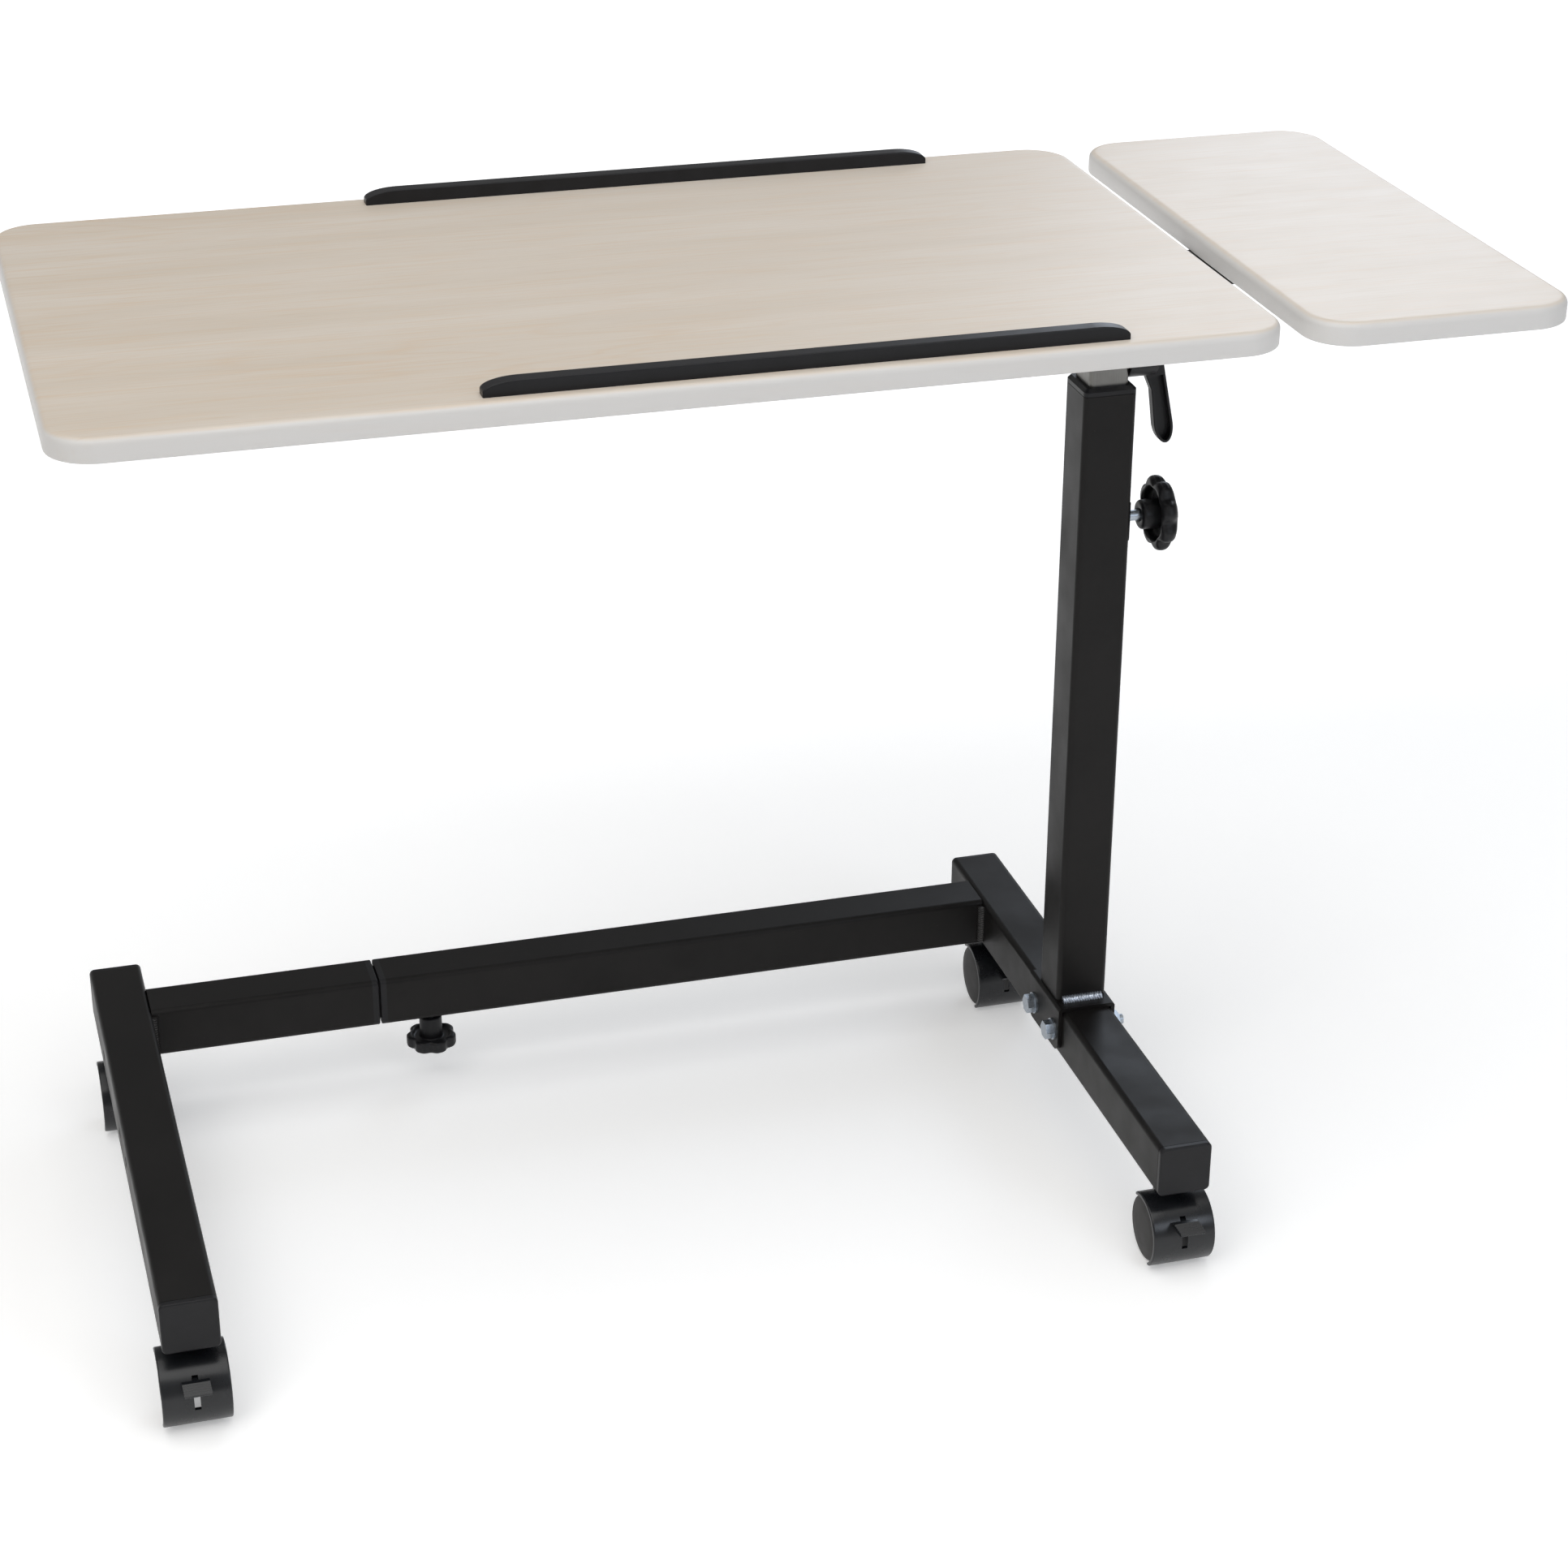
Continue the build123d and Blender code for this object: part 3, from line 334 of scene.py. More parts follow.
def maple_foil():
    """Cream ground with stretched noise for bands, streaks and pores, and contour rings: a
    slow noise times CONTOURS, folded back and forth between 0 and 1."""
    foil = Finish("maple_foil", (0.56, 0.5, 0.43), 0.42)
    bands = foil.noise(0.07, stretch=(5.0, 0.55, 1.0), detail=3.0, distortion=0.4)
    ground = foil.ramp(bands, [
        (0.25, (0.555, 0.485, 0.405)),
        (0.5, (0.59, 0.525, 0.45)),
        (0.75, (0.62, 0.565, 0.5)),
    ])
    slow = foil.noise(0.2, stretch=(2.6, 0.42, 1.0), detail=2.0, distortion=0.6, shift=4.0)
    rings = foil.add("ShaderNodeMath", operation="PINGPONG")
    foil.join(foil.times(slow, CONTOURS), rings.inputs[0])
    rings.inputs[1].default_value = 1.0
    ring_line = foil.span(rings.outputs[0], 0.0, 1.0, 0.6, 1.0)
    patches = foil.noise(0.16, stretch=(2.2, 0.7, 1.0), detail=1.0, shift=9.0)
    ring_patch = foil.span(patches, 0.0, 0.45, 0.5, 0.68)
    ringed = foil.mix(foil.times(ring_line, ring_patch), ground, (0.56, 0.43, 0.31))
    streaks = foil.noise(0.011, stretch=(7.0, 0.22, 1.0), detail=4.0, distortion=0.3, shift=2.0)
    streaked = foil.mix(foil.span(streaks, 0.0, 0.6, 0.5, 0.72), ringed, (0.585, 0.45, 0.32))
    pores = foil.noise(0.0028, stretch=(14.0, 0.35, 1.0), detail=2.0, shift=7.0)
    pored = foil.mix(foil.span(pores, 0.0, 0.4, 0.56, 0.78), streaked, (0.5, 0.385, 0.275))
    axes = foil.axes()
    # Painted reflection: along X the print is mixed up to 40% towards a pale cream.
    painted_reflection = foil.span(axes["X"], 0.0, 0.4, REFLECTION_FROM, REFLECTION_TO)
    reflected_print = foil.mix(painted_reflection, pored, (0.72, 0.675, 0.63))
    # Painted highlight: below the top face the edge band is mixed up to 80% towards pale grey.
    painted_edge_highlight = foil.span(axes["Z"], 0.8, 0.0, EDGE_HIGHLIGHT_LOW, EDGE_HIGHLIGHT_HIGH)
    foil.join(foil.mix(painted_edge_highlight, reflected_print, (0.6, 0.6, 0.6)), foil.shader.inputs["Base Color"])
    foil.join(foil.span(pores, 0.38, 0.5, 0.3, 0.8), foil.shader.inputs["Roughness"])
    foil.bump(pores, 0.00003, 0.3)
    return foil.material


finishes["top_foil"] = maple_foil()
print("foil made")

# %% [markdown]
# ## Bare metals
#
# The inner tube of the mast is drawn steel, satin along its length. Bolts and screws are
# zinc plated, bluish, with a faintly mottled plating. The weld beads lie under the frame's
# coat, except one in front of the mast that has been left bare: all of them share one slot,
# so the coat is told from the bare metal by where the bead lies, not by a second finish.

# %% Metals
BARE_ABOVE = (0.1045, 0.1055)
BARE_IN_FRONT = (0.0, 0.005)


def drawn_steel():
    """Grey steel; fine lines along the tube shift both tone and roughness."""
    steel = Finish("drawn_steel", (0.17, 0.165, 0.155), 0.38, 1.0)
    lines = steel.noise(0.0016, stretch=(0.5, 0.5, 60.0), detail=2.0)
    clouds = steel.noise(0.03, detail=3.0, shift=5.0)
    tone = steel.ramp(clouds, [(0.3, (0.14, 0.137, 0.128)), (0.7, (0.2, 0.197, 0.187))])
    lined = steel.mix(steel.span(lines, 0.0, 0.35, 0.35, 0.75), tone, (0.26, 0.257, 0.248))
    steel.join(lined, steel.shader.inputs["Base Color"])
    steel.join(steel.span(lines, 0.32, 0.5, 0.3, 0.7), steel.shader.inputs["Roughness"])
    steel.bump(lines, 0.00001, 0.3)
    return steel.material


def zinc_plate():
    """Bright bluish plating with small crystals and duller spots."""
    zinc = Finish("zinc_plate", (0.36, 0.4, 0.45), 0.34, 1.0)
    spots = zinc.noise(0.0022, detail=3.0)
    tone = zinc.ramp(spots, [(0.3, (0.3, 0.34, 0.385)), (0.7, (0.46, 0.5, 0.55))])
    zinc.join(tone, zinc.shader.inputs["Base Color"])
    zinc.join(zinc.span(spots, 0.28, 0.42, 0.3, 0.7), zinc.shader.inputs["Roughness"])
    zinc.bump(zinc.noise(0.0008, detail=2.0, shift=2.0), 0.00003, 0.3)
    return zinc.material


def weld_scale():
    """Bare metal on the bead in front of the mast, the frame's black coat on the others."""
    weld = Finish("weld_scale", (0.3, 0.33, 0.38), 0.34, 0.9)
    scale = weld.noise(0.0022, detail=2.0)
    bare = weld.ramp(scale, [(0.3, (0.28, 0.31, 0.36)), (0.6, (0.72, 0.78, 0.88))])
    axes = weld.axes()
    above_leg = weld.span(axes["Z"], 0.0, 1.0, *BARE_ABOVE)
    in_front = weld.span(axes["Y"], 1.0, 0.0, *BARE_IN_FRONT)
    bared = weld.times(above_leg, in_front)
    weld.join(weld.mix(bared, COAT_BLACK, bare), weld.shader.inputs["Base Color"])
    weld.join(weld.span(bared, 0.0, 0.9), weld.shader.inputs["Metallic"])
    weld.bump(scale, 0.0002, 0.4)
    return weld.material


finishes["satin_steel"] = drawn_steel()
finishes["zinc"] = zinc_plate()
finishes["weld_metal"] = weld_scale()
print("metals made")

# %% [markdown]
# ## Plastics
#
# Caps, collars, knobs, lever and ledges are moulded in black with a faint spark-eroded
# grain. The caster hoods are glossier, and the wheels are brown-black nylon. They differ
# only in tone, grain and shine, so one function makes all three.

# %% Plastics
def moulded(name, dark, light, grain, gloss, rough, shine):
    """Moulded plastic: fine grain of size grain as bump, tone and roughness in soft clouds."""
    plastic = Finish(name, dark, gloss)
    plastic.shader.inputs["Specular IOR Level"].default_value = shine
    clouds = plastic.noise(0.02, detail=3.0)
    tone = plastic.ramp(clouds, [(0.3, dark), (0.7, light)])
    plastic.join(tone, plastic.shader.inputs["Base Color"])
    plastic.join(plastic.span(clouds, gloss, rough, 0.3, 0.7), plastic.shader.inputs["Roughness"])
    plastic.bump(plastic.noise(grain, detail=2.0, shift=1.0), 0.00003, 0.35)
    return plastic.material


finishes["black_plastic"] = moulded(
    "satin_black", dark=(0.0075, 0.0075, 0.0085), light=(0.011, 0.011, 0.0125),
    grain=0.0007, gloss=0.34, rough=0.44, shine=0.24)
finishes["caster_plastic"] = moulded(
    "gloss_black", dark=(0.007, 0.0078, 0.0095), light=(0.0105, 0.0115, 0.0135),
    grain=0.0012, gloss=0.24, rough=0.32, shine=0.45)
finishes["wheel_plastic"] = moulded(
    "wheel_nylon", dark=(0.013, 0.0115, 0.011), light=(0.018, 0.0162, 0.0155),
    grain=0.0009, gloss=0.42, rough=0.52, shine=0.18)
print("finishes", sorted(finishes))

# %% Dress every node of the frame
slot_of = {row["node"]: row["material_slot"] for row in frame["record"]["subparts"]}
for node_name, node in nodes.items():
    node.data.materials.clear()
    node.data.materials.append(finishes[slot_of[node_name]])
print("dressed", len(nodes), "nodes")

# %% [markdown]
# ## Turned and rounded pieces
#
# Knobs, wheels and boards all have soft edges that catch the light. A Bevel modifier could
# round them, but it rounds every edge alike. Here a piece is a stack of closed rings
# instead, each ring joined to the next by a band of faces and the first and last ring
# closed by a flat cap. A profile whose corners are rounded gives the rings their sizes.

# %% Profiles and rings
def round_corners(points, cut, steps=6):
    """Each inner corner p of the line becomes a parabola (1-t)^2 a + 2t(1-t) p + t^2 b,
    where a and b lie on the line at distance cut from p (or half way to its neighbour)."""
    points = np.array(points, float)
    corner = points[1:-1]
    ends = []
    for neighbour in (points[:-2], points[2:]):
        reach = neighbour - corner
        length = np.linalg.norm(reach, axis=1, keepdims=True)
        ends.append(corner + reach / length * np.minimum(cut, 0.5 * length))
    t = np.linspace(0.0, 1.0, steps)[None, :, None]
    before, after = ends[0][:, None], ends[1][:, None]
    arcs = (1 - t) ** 2 * before + 2 * t * (1 - t) * corner[:, None] + t ** 2 * after
    return np.vstack([points[:1], arcs.reshape(-1, 2), points[-1:]])


def turned(profile, count, shrink=None):
    """Rings (r cos a, r sin a, h) for each (r, h) of the profile; shrink(a, r) is the
    share by which a ring draws in at angle a."""
    angle = np.linspace(0.0, 2.0 * math.pi, count, endpoint=False)[None, :]
    radius = profile[:, :1]
    height = np.repeat(profile[:, 1:], count, axis=1)
    if shrink is not None:
        radius = radius * (1.0 - shrink(angle, radius))
    return np.stack([radius * np.cos(angle), radius * np.sin(angle), height], axis=2)


def box_of(node_name):
    """Low corner, high corner and middle of a node's box."""
    low, high = (np.array(corner, float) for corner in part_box(node_name))
    return low, high, (low + high) / 2


print("turned pieces ready")

# %% [markdown]
# ## From rings to a finished piece
#
# A mesh needs every face to look out, or its shading goes wrong. Blender can recalculate
# normals, but a stack of rings has a volume that can be summed at once: if it comes out
# negative, the whole stack is turned round. The piece is then given its slot, the body that
# it rides on, and the nodes that it stands in for.

# %% Piece kit
SHARP = math.radians(40.0)


def skin_of(rings):
    """Points, bands and two caps of a ring stack: face i, j joins rings i and i + 1, and the
    signed volume is the sum of a x b . c over all triangles, which decides the winding."""
    levels, count = rings.shape[:2]
    points = rings.reshape(-1, 3)
    i, j = np.meshgrid(np.arange(levels - 1), np.arange(count), indexing="ij")
    here, there = i * count, (i + 1) * count
    following = (j + 1) % count
    band = np.stack([here + j, here + following, there + following, there + j], axis=2)
    band = band.reshape(-1, 4)
    first, last = np.arange(count)[::-1], np.arange(count) + (levels - 1) * count
    a, b, c, d = (points[band[:, k]] for k in range(4))
    volume = (np.cross(a, b) * c).sum() + (np.cross(a, c) * d).sum()
    for cap in (first, last):
        fan = points[cap]
        hub = np.broadcast_to(fan[0], fan[1:-1].shape)
        volume += (np.cross(hub, fan[1:-1]) * fan[2:]).sum()
    if volume < 0:
        band, first, last = band[:, ::-1], first[::-1], last[::-1]
    return points, band, (first, last)


def add_piece(name, bodies, slot, rides_on, *replaced):
    """One smooth mesh from several ring stacks, or ready points and faces, in metres."""
    corners, quads, caps, start = [], [], [], 0
    for body in bodies:
        points, faces, ends = (*body, ()) if isinstance(body, tuple) else skin_of(body)
        corners.append(points)
        quads.extend((faces + start).tolist())
        caps.extend([(end + start).tolist() for end in ends])
        start += len(points)
    mesh = bpy.data.meshes.new(name)
    mesh.from_pydata(np.vstack(corners).tolist(), [], quads + caps)
    mesh.polygons.foreach_set("use_smooth", [True] * len(quads) + [False] * len(caps))
    mesh.set_sharp_from_angle(angle=SHARP)
    mesh.materials.append(finishes[slot])
    piece = bpy.data.objects.new(name, mesh)
    scene.collection.objects.link(piece)
    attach(piece, rides_on)
    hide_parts(*replaced)
    print(name, len(quads), "quads")
    return piece


print("piece kit ready")

# %% [markdown]
# ## The boards
#
# The two tops are flat boards with rounded corners, their foil drawn down over a soft upper
# edge. A board is a stack of rounded rectangles: small at the underside, full size along
# the wrapped edge, and drawn in again over the top edge. Rings follow the edge all the way
# round, where a bevelled box would leave a seam at each corner.

# %% Boards
CORNER = 32.0 * MM
TOP_EDGE = 5.0 * MM
UNDER_EDGE = 1.5 * MM
FACE_INSET = 2.0 * MM


def rounded_outline(half_x, half_y, corner, steps=14):
    """Quarter circles of radius corner at the four corners of a rectangle."""
    turn = np.linspace(0.0, 0.5 * math.pi, steps)
    arcs = []
    for quarter, (sign_x, sign_y) in enumerate(((1, 1), (-1, 1), (-1, -1), (1, -1))):
        angle = turn + 0.5 * math.pi * quarter
        arcs.append(np.stack([
            sign_x * (half_x - corner) + corner * np.cos(angle),
            sign_y * (half_y - corner) + corner * np.sin(angle),
        ], axis=1))
    return np.vstack(arcs)


def board(node_name, rides_on):
    """Rings drawn in by r (1 - sin) and raised by r (1 - cos) of a quarter turn at the under
    edge, and the other way about at the top edge; a last ring each side flattens the face."""
    low, high, middle = box_of(node_name)
    half_x, half_y = (high[0] - low[0]) / 2, (high[1] - low[1]) / 2
    turn = np.linspace(0.0, 0.5 * math.pi, 8)
    under = UNDER_EDGE * np.stack([1 - np.sin(turn), 1 - np.cos(turn)], axis=1)
    over = TOP_EDGE * np.stack([1 - np.cos(turn), np.sin(turn)], axis=1)
    over[:, 1] += high[2] - low[2] - TOP_EDGE
    flat = np.array([[FACE_INSET, 0.0]])
    rings = []
    for inset, rise in np.vstack([under[:1] + flat, under, over, over[-1:] + flat]):
        outline = rounded_outline(half_x - inset, half_y - inset, CORNER - inset)
        height = np.full(len(outline), low[2] + rise)
        rings.append(np.column_stack([outline + middle[:2], height]))
    name = node_name.replace("_panel", "_board")
    return add_piece(name, [np.array(rings)], "top_foil", rides_on, node_name)


board("main_top_panel", "tilting_top")
board("side_top_panel", "column")

# %% [markdown]
# ## Star knobs
#
# Two black star knobs clamp the table, a large one for the height and a small one under
# the crossbar. Cutting scallops out of a disc with booleans leaves sharp lips, so a knob is
# a turned profile whose rim is drawn in between the lobes, and the dip fades towards the
# middle. The height knob shows its hollow back and the hub that its screw comes out of.

# %% Knobs
SCREW_BORE = 4.05 * MM
POLE = 0.2 * MM
HEIGHT_LOBES, HEIGHT_DIP, HEIGHT_HUB, HEIGHT_STEP = 8, 4.2 * MM, 11.0 * MM, 9.5 * MM
BASE_LOBES, BASE_DIP, BASE_HUB, BASE_STAR = 7, 2.6 * MM, 9.0 * MM, 11.0 * MM


def lobes(count, depth, rim, core):
    """Share drawn in: depth/r times a narrow dip, count times round, fading from rim to core."""
    def shrink(angle, radius):
        dip = (0.5 + 0.5 * np.cos(count * angle)) ** 2
        fade = np.clip((radius - core) / (rim - core), 0.0, 1.0)
        return depth / rim * dip * fade * fade * (3 - 2 * fade)
    return shrink


def height_knob():
    """Profile of radius against height: the screw's bore, its hub, the floor and wall of the
    hollow back, the step and the rim, and the dome in front."""
    low, high, middle = box_of("height_knob")
    rim, thick = (high[2] - low[2]) / 2, high[0] - low[0]
    hub, step, bore_end = HEIGHT_HUB, HEIGHT_STEP, thick - 6.5 * MM
    bore = [(POLE, bore_end), (SCREW_BORE, bore_end), (SCREW_BORE, 0.0)]
    back = [(hub, 0.0), (hub, thick - 7.0 * MM), (0.7 * rim, thick - 7.5 * MM)]
    wall = [(0.72 * rim, step + 0.6 * MM), (0.8 * rim, step), (0.95 * rim, step + 1.5 * MM)]
    edge = [(rim, step + 5.5 * MM), (0.96 * rim, step + 10.0 * MM)]
    dome = [(0.8 * rim, thick - 2.6 * MM), (0.45 * rim, thick - 0.4 * MM), (POLE, thick)]
    profile = round_corners(bore + back + wall + edge + dome, 3.0 * MM)
    rings = turned(profile, 192, lobes(HEIGHT_LOBES, HEIGHT_DIP, rim, 0.62 * rim))
    rings = rings[:, :, [2, 0, 1]] + [low[0], middle[1], middle[2]]
    return add_piece("height_star", [rings], "black_plastic", "height_handle", "height_knob")


def base_knob():
    """Profile of radius against height: the star's flat underside and rim, its shallow top,
    then up the hub and back down the bore."""
    low, high, middle = box_of("base_clamp_knob")
    rim, tall = (high[0] - low[0]) / 2, high[2] - low[2]
    hub, star = BASE_HUB, BASE_STAR
    under = [(POLE, 0.0), (0.85 * rim, 0.0), (rim, 1.5 * MM), (rim, star - 1.0 * MM)]
    top = [(0.82 * rim, star), (0.68 * rim, star - 3.0 * MM), (hub, star - 3.0 * MM)]
    bore = [(hub, tall), (SCREW_BORE, tall), (SCREW_BORE, star), (POLE, star)]
    profile = round_corners(under + top + bore, 1.6 * MM)
    rings = turned(profile, 168, lobes(BASE_LOBES, BASE_DIP, rim, 0.6 * rim))
    rings = rings + [middle[0], middle[1], low[2]]
    return add_piece("base_star", [rings], "black_plastic", "base_handle", "base_clamp_knob")


height_knob()
base_knob()

# %% [markdown]
# ## Wheels
#
# Each caster has two nylon wheels with a rounded tread and a face that swells a little
# outwards. Both come from one turned profile, and the second is its mirror image.

# %% Wheels
PLACES = ("front_left", "back_left", "front_right", "back_right")
AXLE_BORE = 3.05 * MM
INNER_FACE = 6.7 * MM
FACE_MIDDLE = 0.15 * MM


def wheels(place):
    """Two turned discs, mirror images across the caster's middle plane."""
    node_name = "caster_wheels_" + place
    low, high, middle = box_of(node_name)
    rim, half, inner = (high[2] - low[2]) / 2, (high[0] - low[0]) / 2, INNER_FACE
    profile = round_corners([
        (AXLE_BORE, inner), (0.9 * rim, inner), (rim, inner + 2.0 * MM), (rim, half - 3.0 * MM),
        (0.93 * rim, half - 1.2 * MM), (0.6 * rim, half - 0.3 * MM), (FACE_MIDDLE, half),
    ], 2.4 * MM)
    across = turned(profile, 96)[:, :, [2, 0, 1]]
    bodies = [across + middle, across * [-1, 1, 1] + middle]
    return add_piece("wheel_pair_" + place, bodies, "wheel_plastic", "wheels_" + place, node_name)


for place in PLACES:
    wheels(place)

# %% [markdown]
# ## Caster hoods
#
# A hood is a bent plate round both wheels, moulded in one with the web between them and the
# boss that turns on the stem. A Solidify modifier would thicken a bent sheet, but would
# leave its edges square. So the outer and inner skins are two grids over the angle about
# the axle and the distance across, and the outer one drops near every edge. Cells are left
# out for the pedal's slot, and a wall joins the two skins wherever a cell has no neighbour.

# %% Hood plate
HOOD_RADIUS = 28.0 * MM
HOOD_BORE = 25.4 * MM
HOOD_START, HOOD_END = 62.0, 232.0
SLOT_START, SLOT_END = 136.0, 188.0
SIDE_EDGE = 1.2 * MM
END_EDGE = 2.2 * MM
END_STEPS = np.array([0.0, 0.15, 0.5, 1.0, 1.7, 2.8, 4.5])
SIDE_STEPS = np.array([24.0, 23.95, 23.8, 23.5, 23.1, 22.8, 12.0, 2.2]) / 24.0


def shell(outer, inner, filled):
    """Points and faces of a closed plate: both skins over the filled cells, and walls along
    every edge that has a filled cell on one side only."""
    rows, columns = outer.shape[:2]
    over = np.arange(rows * columns).reshape(rows, columns)
    under = over + rows * columns
    blocks = (over[:-1, :-1], over[:-1, 1:], over[1:, 1:], over[1:, :-1])
    cell = [block[filled] for block in blocks]
    faces = [np.stack(cell, axis=1), np.stack(cell[::-1], axis=1) + rows * columns]
    along, across = np.pad(filled, 1)[:, 1:-1], np.pad(filled, 1)[1:-1, :]
    before, after = slice(None, -1), slice(1, None)
    walls = (
        (along[1:] & ~along[:-1], (slice(None), after), (slice(None), before)),
        (along[:-1] & ~along[1:], (slice(None), before), (slice(None), after)),
        (across[:, 1:] & ~across[:, :-1], (before,), (after,)),
        (across[:, :-1] & ~across[:, 1:], (after,), (before,)),
    )
    for here, start, end in walls:
        ring = (over[start][here], over[end][here], under[end][here], under[start][here])
        faces.append(np.stack(ring, axis=1))
    return np.vstack([outer.reshape(-1, 3), inner.reshape(-1, 3)]), np.vstack(faces)


def eased(distance, radius):
    """Drop of a quarter-round edge at distance from the edge: r - sqrt(r^2 - (r - d)^2)."""
    inside = np.clip(radius - distance, 0.0, radius)
    return radius - np.sqrt(radius ** 2 - inside ** 2)


def hood_plate(half):
    """Skins (x, r cos a, r sin a) about the axle, for a from HOOD_START to HOOD_END degrees
    and x across; the outer r is HOOD_RADIUS less the drop at the nearest side or end."""
    angle = np.radians(np.concatenate([
        HOOD_START + END_STEPS,
        np.linspace(HOOD_START + 6.0, SLOT_START, 30),
        np.linspace(SLOT_START, SLOT_END, 24)[1:],
        np.linspace(SLOT_END, HOOD_END - 6.0, 18)[1:],
        HOOD_END - END_STEPS[::-1],
    ]))[:, None]
    x = half * np.concatenate([-SIDE_STEPS, SIDE_STEPS[::-1]])[None, :]
    arc = HOOD_RADIUS * np.minimum(angle - angle[0], angle[-1] - angle)
    drop = np.maximum(eased(half - np.abs(x), SIDE_EDGE), eased(arc, END_EDGE))
    skins = []
    for radius in (HOOD_RADIUS - drop, np.full_like(drop, HOOD_BORE)):
        across = np.broadcast_to(x, radius.shape)
        skins.append(np.stack([across, radius * np.cos(angle), radius * np.sin(angle)], axis=2))
    middle = (angle[1:] + angle[:-1]) / 2
    in_slot = (middle > math.radians(SLOT_START)) & (middle < math.radians(SLOT_END))
    in_middle = np.abs(x[:, 1:] + x[:, :-1]) < MM
    return skins, ~(in_slot & in_middle)


print("hood plate ready")

# %% Hoods
WEB_RADIUS = 26.4 * MM
WEB_START, WEB_END = 35.0, 118.0
WEB_HALF_FOOT, WEB_FOOT = 6.5 * MM, 2.0 * MM
WEB_HALF_WIDTH = 4.9 * MM
BEARING_RADIUS, BEARING_HALF = 7.5, 5.0
STEM_TRAIL = 22.0 * MM
BOSS_RADIUS, BOSS_FOOT = 6.0 * MM, 8.0 * MM


def drawn_out(outline, half_width):
    """Two rings: the closed outline (y, z) at x = -half_width and at x = +half_width."""
    outline = np.array(outline, float)
    ends = (-half_width, half_width)
    return np.array([np.column_stack([np.full(len(outline), x), outline]) for x in ends])


def hood(place):
    """The bent plate, a web that fans out from the axle, a bearing drum round the axle and
    the boss on the stem's line, a caster's trail behind it."""
    node_name = "caster_hood_" + place
    low, high, middle = box_of(node_name)
    axle = box_of("caster_wheels_" + place)[2]
    (outer, inner), filled = hood_plate((high[0] - low[0]) / 2)
    plate = shell(outer + axle, inner + axle, filled)
    turn = np.radians(np.linspace(WEB_START, WEB_END, 16))
    fan = np.stack([WEB_RADIUS * np.cos(turn), WEB_RADIUS * np.sin(turn)], axis=1)
    foot = [(-WEB_HALF_FOOT, WEB_FOOT), (WEB_HALF_FOOT, WEB_FOOT)]
    web = drawn_out(np.vstack([fan, foot]), WEB_HALF_WIDTH) + axle
    drum = np.array([(BEARING_RADIUS, -BEARING_HALF), (BEARING_RADIUS, BEARING_HALF)]) * MM
    bearing = turned(drum, 48)[:, :, [2, 0, 1]] + axle
    post = np.array([(BOSS_RADIUS, axle[2] + BOSS_FOOT), (BOSS_RADIUS, high[2])])
    boss = turned(post, 48) + np.array([middle[0], axle[1] + STEM_TRAIL, 0.0])
    bodies = [plate, web, bearing, boss]
    return add_piece("hood_" + place, bodies, "caster_plastic", "caster_" + place, node_name)


for place in PLACES:
    hood(place)

# %% [markdown]
# ## Brake pedals
#
# A pedal is a short plate with ridges across it for the sole of a shoe, carried through the
# hood's slot by a narrow neck. Everything on it runs straight across the caster, so both
# parts are outlines in the caster's side plane, drawn out sideways, and the faces are left
# flat so that each ridge keeps its crease.

# %% Pedals
PEDAL_THICK = 3.2 * MM
PEDAL_REACH = 17.5 * MM
RIDGE_DIP = 0.9 * MM
LIP_EDGE = 1.2 * MM
NECK_HALF = 1.9 * MM
RIDGE_POINTS = 11


def pedal(place):
    """Plate from lip to hood with a zigzag top, every second point RIDGE_DIP lower, and its
    neck."""
    node_name = "caster_brake_" + place
    low, high, middle = box_of(node_name)
    under, top = high[2] - PEDAL_THICK, high[2]
    lip, root = low[1], low[1] + PEDAL_REACH
    ridge_y = lip + np.linspace(0.6, 14.6, RIDGE_POINTS) * MM
    ridge_z = top - np.where(np.arange(RIDGE_POINTS) % 2, 0.0, RIDGE_DIP)
    outline = [(root, under), (root, top - RIDGE_DIP)]
    outline += list(zip(ridge_y[::-1], ridge_z[::-1]))
    outline += [(lip, top - LIP_EDGE), (lip, under + LIP_EDGE), (lip + LIP_EDGE, under)]
    plate = drawn_out(outline, (high[0] - low[0]) / 2)
    neck = drawn_out([
        (root - 4.0 * MM, under - 2.0 * MM), (root - 4.0 * MM, top - 1.5 * MM),
        (high[1], top - 3.0 * MM), (high[1], low[2]),
    ], NECK_HALF)
    across = np.array([middle[0], 0.0, 0.0])
    bodies = [plate + across, neck + across]
    piece = add_piece("pedal_" + place, bodies, "caster_plastic", "brake_" + place, node_name)
    piece.data.polygons.foreach_set("use_smooth", [False] * len(piece.data.polygons))
    return piece


for place in PLACES:
    pedal(place)

# %% [markdown]
# ## Weld beads
#
# A bead fills the corner between two plates. Its round face carries the overlapping ripples
# that the welder's steps leave, each one bowed in the middle. Bump alone would not change
# the bead's outline against the leg, so the ripples are in the mesh.

# %% Beads
BEAD = 4.5 * MM
RIPPLE = 2.1 * MM
BOW = 0.9 * MM
ROOT = 0.2 * MM
TUBE = 40.0 * MM
SHORT_OF_TUBE = 8.0 * MM
ACROSS, BACK, UP = np.eye(3)


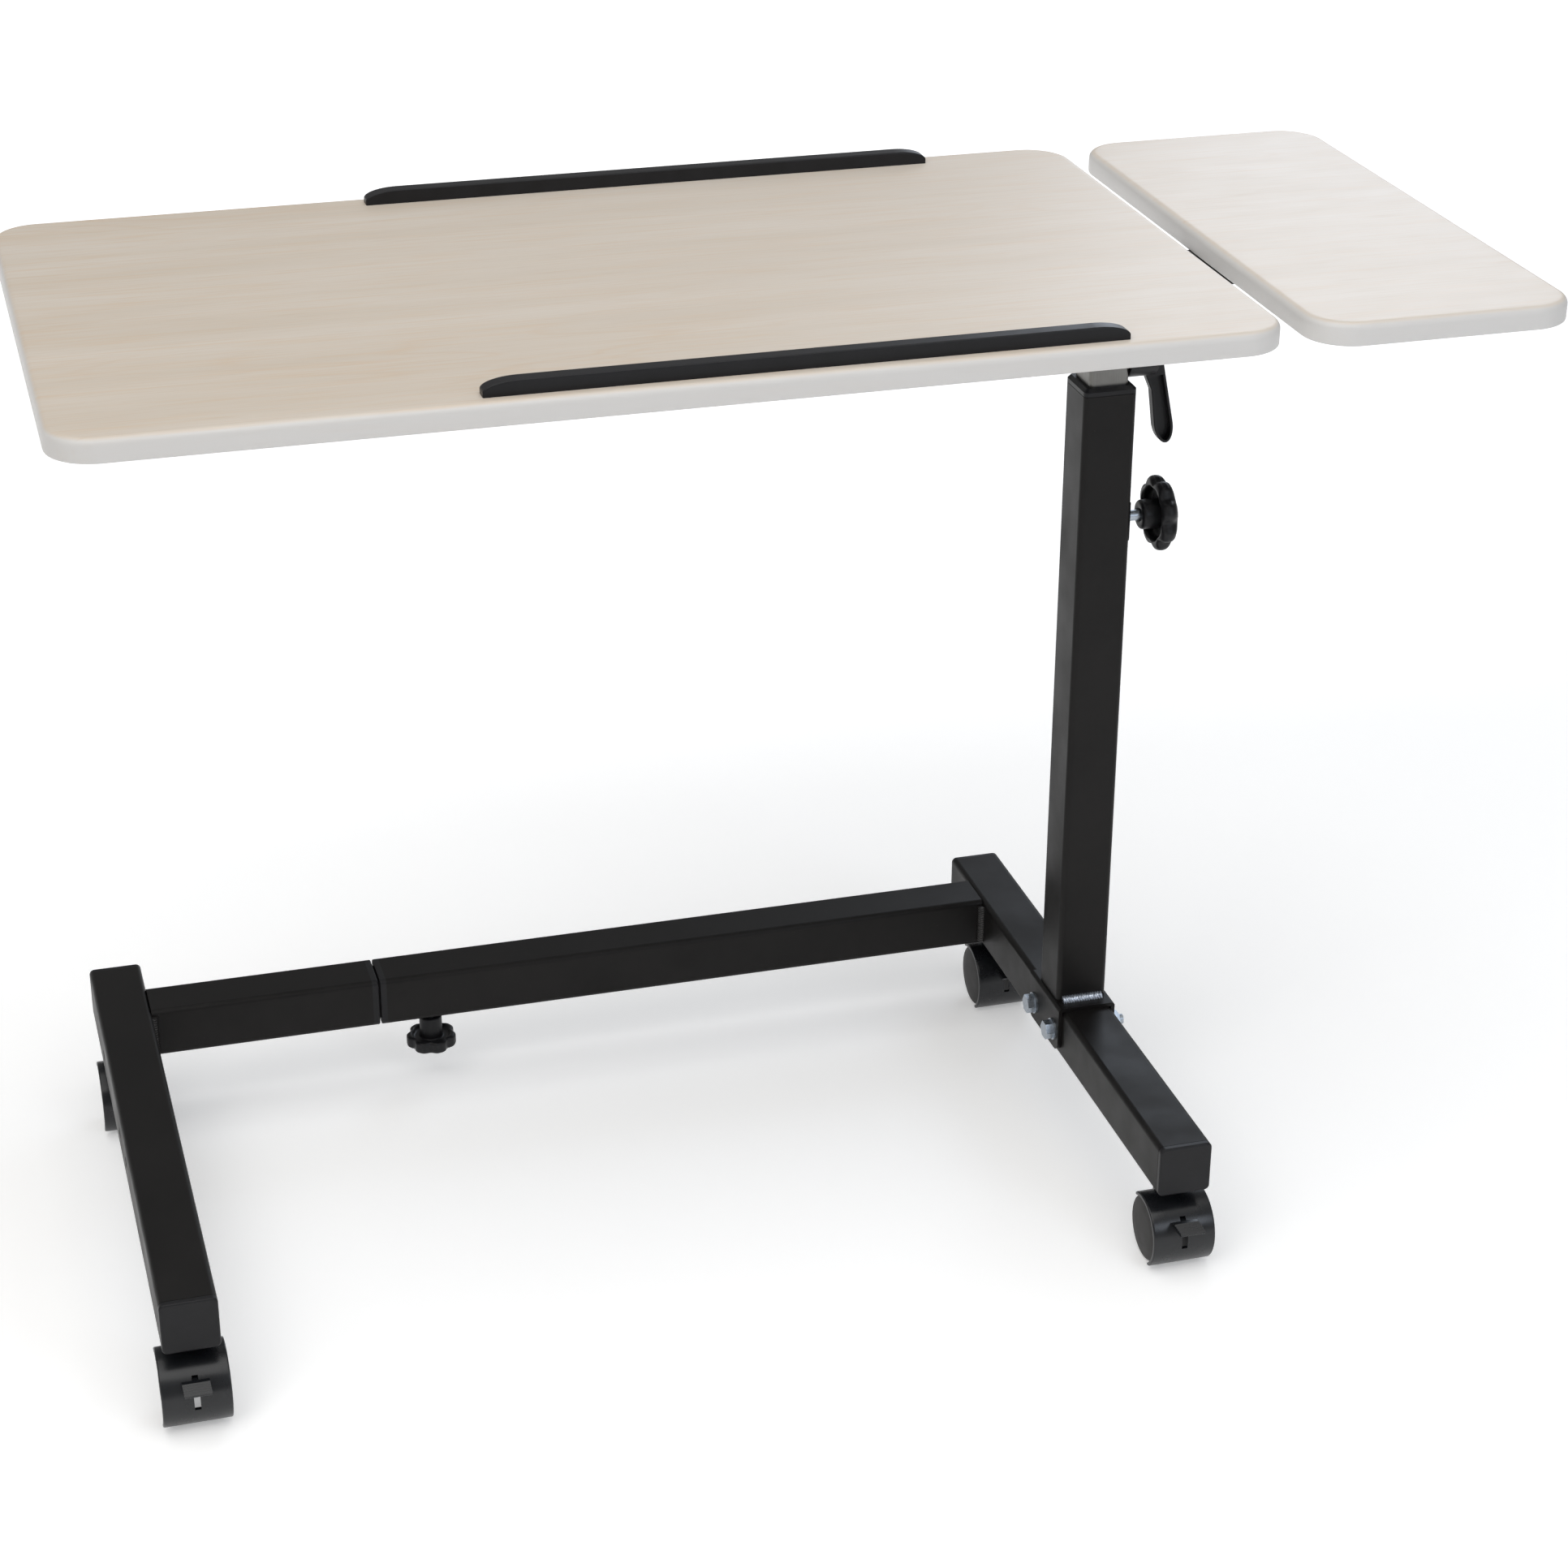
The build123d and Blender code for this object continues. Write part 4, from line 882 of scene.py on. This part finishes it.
def bead(corner, leg, rise, run, length):
    """Rings along run: a quarter circle of radius BEAD (0.86 + 0.16 |cos(pi (s + bow)/RIPPLE)|),
    where bow grows towards the middle of the arc, closed at the corner."""
    arc = np.linspace(0.0, 0.5 * math.pi, 11)
    s = np.linspace(0.0, length, 150)[:, None]
    bow = BOW * np.sin(2 * arc)[None, :]
    radius = BEAD * (0.86 + 0.16 * np.abs(np.cos(math.pi * (s + bow) / RIPPLE)))
    swing = np.cos(arc)[None, :, None] * leg + np.sin(arc)[None, :, None] * rise
    inner = np.zeros((len(s), 1, 3)) - ROOT * (leg + rise)
    rings = np.concatenate([radius[:, :, None] * swing, inner], axis=1)
    return rings + np.array(corner) + s[:, :, None] * run


def frame_beads():
    """Beads at the mast's foot, front and back, and up both sides of each crossbar joint."""
    foot_low, foot_high, foot = box_of("mast_outer_tube")
    bar_low, bar_high, bar = box_of("crossbar_outer_tube")
    stub_end = box_of("crossbar_stub_tube")[0][0]
    length = TUBE - SHORT_OF_TUBE
    start, low = foot[0] - length / 2, bar[2] - length / 2
    right = [
        bead((start, foot_low[1], foot_low[2]), -BACK, UP, ACROSS, length),
        bead((start, foot_high[1], foot_low[2]), BACK, UP, ACROSS, length),
        bead((bar_high[0], bar_low[1], low), -ACROSS, -BACK, UP, length),
        bead((bar_high[0], bar_high[1], low), -ACROSS, BACK, UP, length),
    ]
    left = [
        bead((stub_end, bar_low[1], low), ACROSS, -BACK, UP, length),
        bead((stub_end, bar_high[1], low), ACROSS, BACK, UP, length),
    ]
    add_piece("right_beads", right, "weld_metal", "base", "right_frame_welds")
    add_piece("left_beads", left, "weld_metal", "base_extension", "left_frame_welds")


frame_beads()

# %% [markdown]
# ## Floor
#
# A seamless pale sweep, wide enough to fill the view from every side. A real studio lights
# its backdrop apart from the object. Here the floor glows faintly instead, more towards the
# back, so that it fades to white without a lamp that would also wash out the table.

# %% Floor
FLOOR_REACH = 12.0
FLOOR_GAP = 0.2 * MM
GLOW_NEAR, GLOW_FAR = 0.3, 0.95
GLOW_FROM, GLOW_TO = 0.6, 3.5


def add_floor():
    """A flat square of FLOOR_REACH metres either way, just under the wheels."""
    reach, level = FLOOR_REACH, cad_low[2] - FLOOR_GAP
    corners = [(x * reach, y * reach, level) for x, y in ((-1, -1), (1, -1), (1, 1), (-1, 1))]
    mesh = bpy.data.meshes.new("floor")
    mesh.from_pydata(corners, [], [(0, 1, 2, 3)])
    floor = bpy.data.objects.new("floor", mesh)
    scene.collection.objects.link(floor)
    paper = Finish("paper", (0.93, 0.93, 0.93), 0.9)
    tone = paper.ramp(paper.noise(0.6), [(0.3, (0.92, 0.92, 0.92)), (0.7, (0.94, 0.94, 0.94))])
    paper.join(tone, paper.shader.inputs["Base Color"])
    paper.shader.inputs["Emission Color"].default_value = (1.0, 1.0, 1.0, 1.0)
    glow = paper.span(paper.axes()["Y"], GLOW_NEAR, GLOW_FAR, GLOW_FROM, GLOW_TO)
    paper.join(glow, paper.shader.inputs["Emission Strength"])
    mesh.materials.append(paper.material)


add_floor()
print("floor laid")
